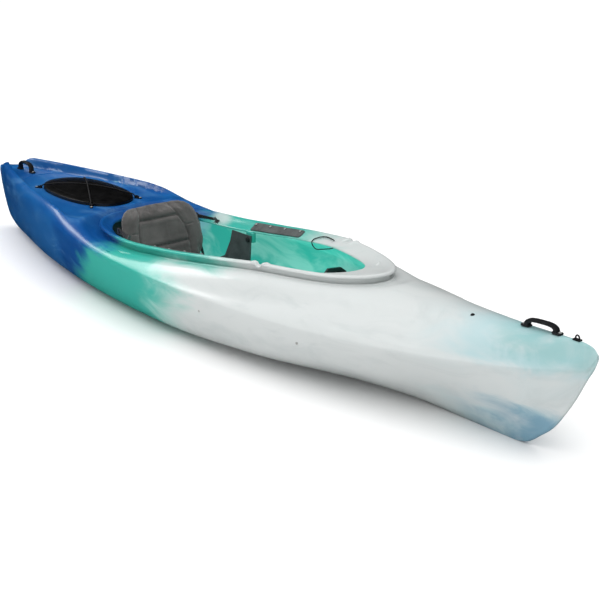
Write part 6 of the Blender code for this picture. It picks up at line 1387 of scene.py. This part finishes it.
def make_handles():
    """Carrying handles: a grip with its two screwed feet."""
    for name, rear, front, low_rear, low_front, top in HANDLES:
        grip = make_grip(name, rear, front, low_rear, low_front, top)
        for x, low in ((rear, low_rear), (front, low_front)):
            slab = []
            for inset, height in FOOT_RINGS:
                slab.append([])
                for a in np.linspace(0, 2 * math.pi, 40, endpoint=False):
                    c, s = rounded(math.cos(a), FOOT_ROUNDING), rounded(math.sin(a), FOOT_ROUNDING)
                    out, across = (FOOT_HALF_LENGTH - inset) * c, (FOOT_HALF_WIDTH - inset) * s
                    slab[-1].append(Vector((x + out, across, low + height)))
            boolean_applied(grip, loft(slab))
        stands_for(grip, f"{name}_handle", 45)


def make_thigh_pads(flange):
    """A moulded pad on each side of the flange, with rounded corners, a border groove and screw rings."""
    front, back = [], []
    for x in np.linspace(PAD_REAR, PAD_FRONT, 84):
        end = min(x - PAD_REAR, PAD_FRONT - x)
        corner = 1 if end > PAD_CORNER else 0.72 + 0.28 * math.sqrt(max(0, 1 - (1 - end / PAD_CORNER) ** 2))
        normal = flange.normal(x, 0.5)
        front.append([])
        back.append([])
        for q in np.linspace(-1, 1, 25):
            spot = flange.point(x, PAD_MIDDLE + PAD_REACH * q * corner)
            rim = min(1 - abs(q), end / PAD_RIM if end < PAD_RIM else 1)
            thick = PAD_THICKNESS * (1 - (1 - min(1, rim / 0.16)) ** 2.5 * 0.62)
            thick -= PAD_GROOVE * valley(abs(q) - PAD_BORDER, 0.035) * smoothstep(0.010, 0.016, end)
            thick -= PAD_GROOVE * valley(end - 0.013, 0.0018) * (abs(q) < PAD_BORDER)
            for screw in THIGH_SCREWS:
                away = (spot - flange.point(screw, PAD_SCREW_SHARE)).length
                thick -= PAD_RING * valley(away - PAD_RING_RADIUS, 0.0014)
            front[-1].append(spot + normal * (PAD_GAP + float(thick)))
            back[-1].append(spot + normal * PAD_GAP)
    pad = new_mesh("thigh_rest_port", grid_solid(front, back), THIGH, "hull")
    stands_for(pad, "thigh_pad_port", 60)
    bm = bmesh.new()
    bm.from_mesh(pad.data)
    for vert in bm.verts:
        vert.co.y *= -1
    bmesh.ops.reverse_faces(bm, faces=bm.faces[:])
    stands_for(new_mesh("thigh_rest_starboard", bm, THIGH, "hull"), "thigh_pad_starboard")


def make_straps():
    """The recline straps: webbing from the backrest's buckle to the anchor on the flange, folded at both ends."""
    for side, name in ((1, "port"), (-1, "starboard")):
        start, end = (Vector((x, side * y, z)) for x, y, z in (STRAP_REAR, STRAP_FRONT))
        along = (end - start).normalized()
        rings = []
        for share in np.linspace(0, 1, 40):
            width = UP.lerp(Vector((0.0, -0.59 * side, 0.81)), share).normalized()
            out = along.cross(width).normalized()
            thick = WEBBING_HALF_THICKNESS * (1 + WEBBING_FOLD * float(share < 0.16 or share > 0.86))
            rings.append([start.lerp(end, share) + width * (STRAP_WIDTH / 2 * across) + out * (thick * lift)
                          for across, lift in WEBBING_SECTION])
        strap = new_mesh(f"recline_webbing_{name}", loft(rings), WEBBING, None)
        tuple(start)
        tuple(end)
        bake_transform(strap)
        stands_for(strap, f"recline_strap_{name}")


def softened_edges():
    """Rounds the edges of the CAD pieces that stay in view."""
    for entry in frame["record"]["subparts"]:
        name = entry["node"]
        width = next((w for key, w in EDGE_WIDTHS if key in name), 0)
        if width and name not in REPLACED:
            assign(nodes[name].modifiers.new("edges", "BEVEL"), width=width, segments=3, limit_method="ANGLE",
                   angle_limit=math.radians(32), harden_normals=True)


def screw_rings():
    """Rings of a pan head with a cross recess and its shank, from the recess outwards, along +Z."""
    arm, tip = CROSS_ARM, CROSS_TIP
    corners = [(tip, -arm), (tip, arm), (arm, arm)]
    for _ in range(3):
        corners += [(-y, x) for x, y in corners[-3:]]
    cross = []
    for (ax, ay), (bx, by) in zip(corners, corners[1:] + corners[:1]):
        cross += [(ax, ay), ((ax + bx) / 2, (ay + by) / 2)]
    start = math.atan2(-arm, tip)
    angles = [start + 2 * math.pi * k / 24 for k in range(24)]

    def circle(radius, height):
        return [Vector((radius * math.cos(a), radius * math.sin(a), height)) for a in angles]

    rise, head = SCREW_RISE, SCREW_HEAD
    rings = [[Vector((x * share, y * share, height)) for x, y in cross]
             for share, height in ((RECESS_SHARE, rise - CROSS_DEPTH), (1, rise))]
    shapes = ((0.0031, rise * 0.97), (0.0041, rise * 0.83), (0.0048, rise * 0.56), (0.0051, rise * 0.25),
              (head, 0.0002), (head * 0.985, 0), (SCREW_SHANK, 0))
    return rings + [circle(*shape) for shape in shapes], circle


def make_screws():
    """Pan-head screws with cross recesses, each where its CAD node stands."""
    rings, circle = screw_rings()
    for node in [entry["node"] for entry in frame["record"]["subparts"]]:
        if "screw" not in node:
            continue
        points = values_of(nodes[node].data)
        centre = points.mean(0)
        axis = np.linalg.svd(points - centre)[2][0]
        reach = (points - centre) @ axis
        if -reach.min() < reach.max():
            axis, reach = -axis, -reach
        out = Vector(axis).normalized()
        top = Vector(centre) + out * float(reach.max())
        length = float(reach.max() - reach.min()) - SCREW_RISE
        turn = UP.rotation_difference(out).to_matrix().to_4x4()
        # Each screw's cross stands at an angle of its own
        place = Matrix.Translation(top - out * SCREW_RISE) @ turn @ Matrix.Rotation(sum(map(ord, node)) * 0.37, 4, "Z")
        thread = []
        for k in range(int(length / THREAD_TURN)):
            thread.append(circle(SCREW_SHANK * (1.0 if k % 2 else THREAD_SHARE), -THREAD_START - k * THREAD_TURN))
        whole = rings + thread + [circle(SCREW_SHANK * 0.5, -length)]
        solid = loft([[place @ p for p in ring] for ring in whole])
        stands_for(new_mesh("fine_" + node, solid, STEEL, "hull"), node, 38)


make_camera()
make_cords()
make_stage()
finish_nodes()
make_hull()
make_hatch_cover()
make_handles()
make_backrest()
make_cushion()
make_thigh_pads(Flange())
make_straps()
make_screws()
softened_edges()
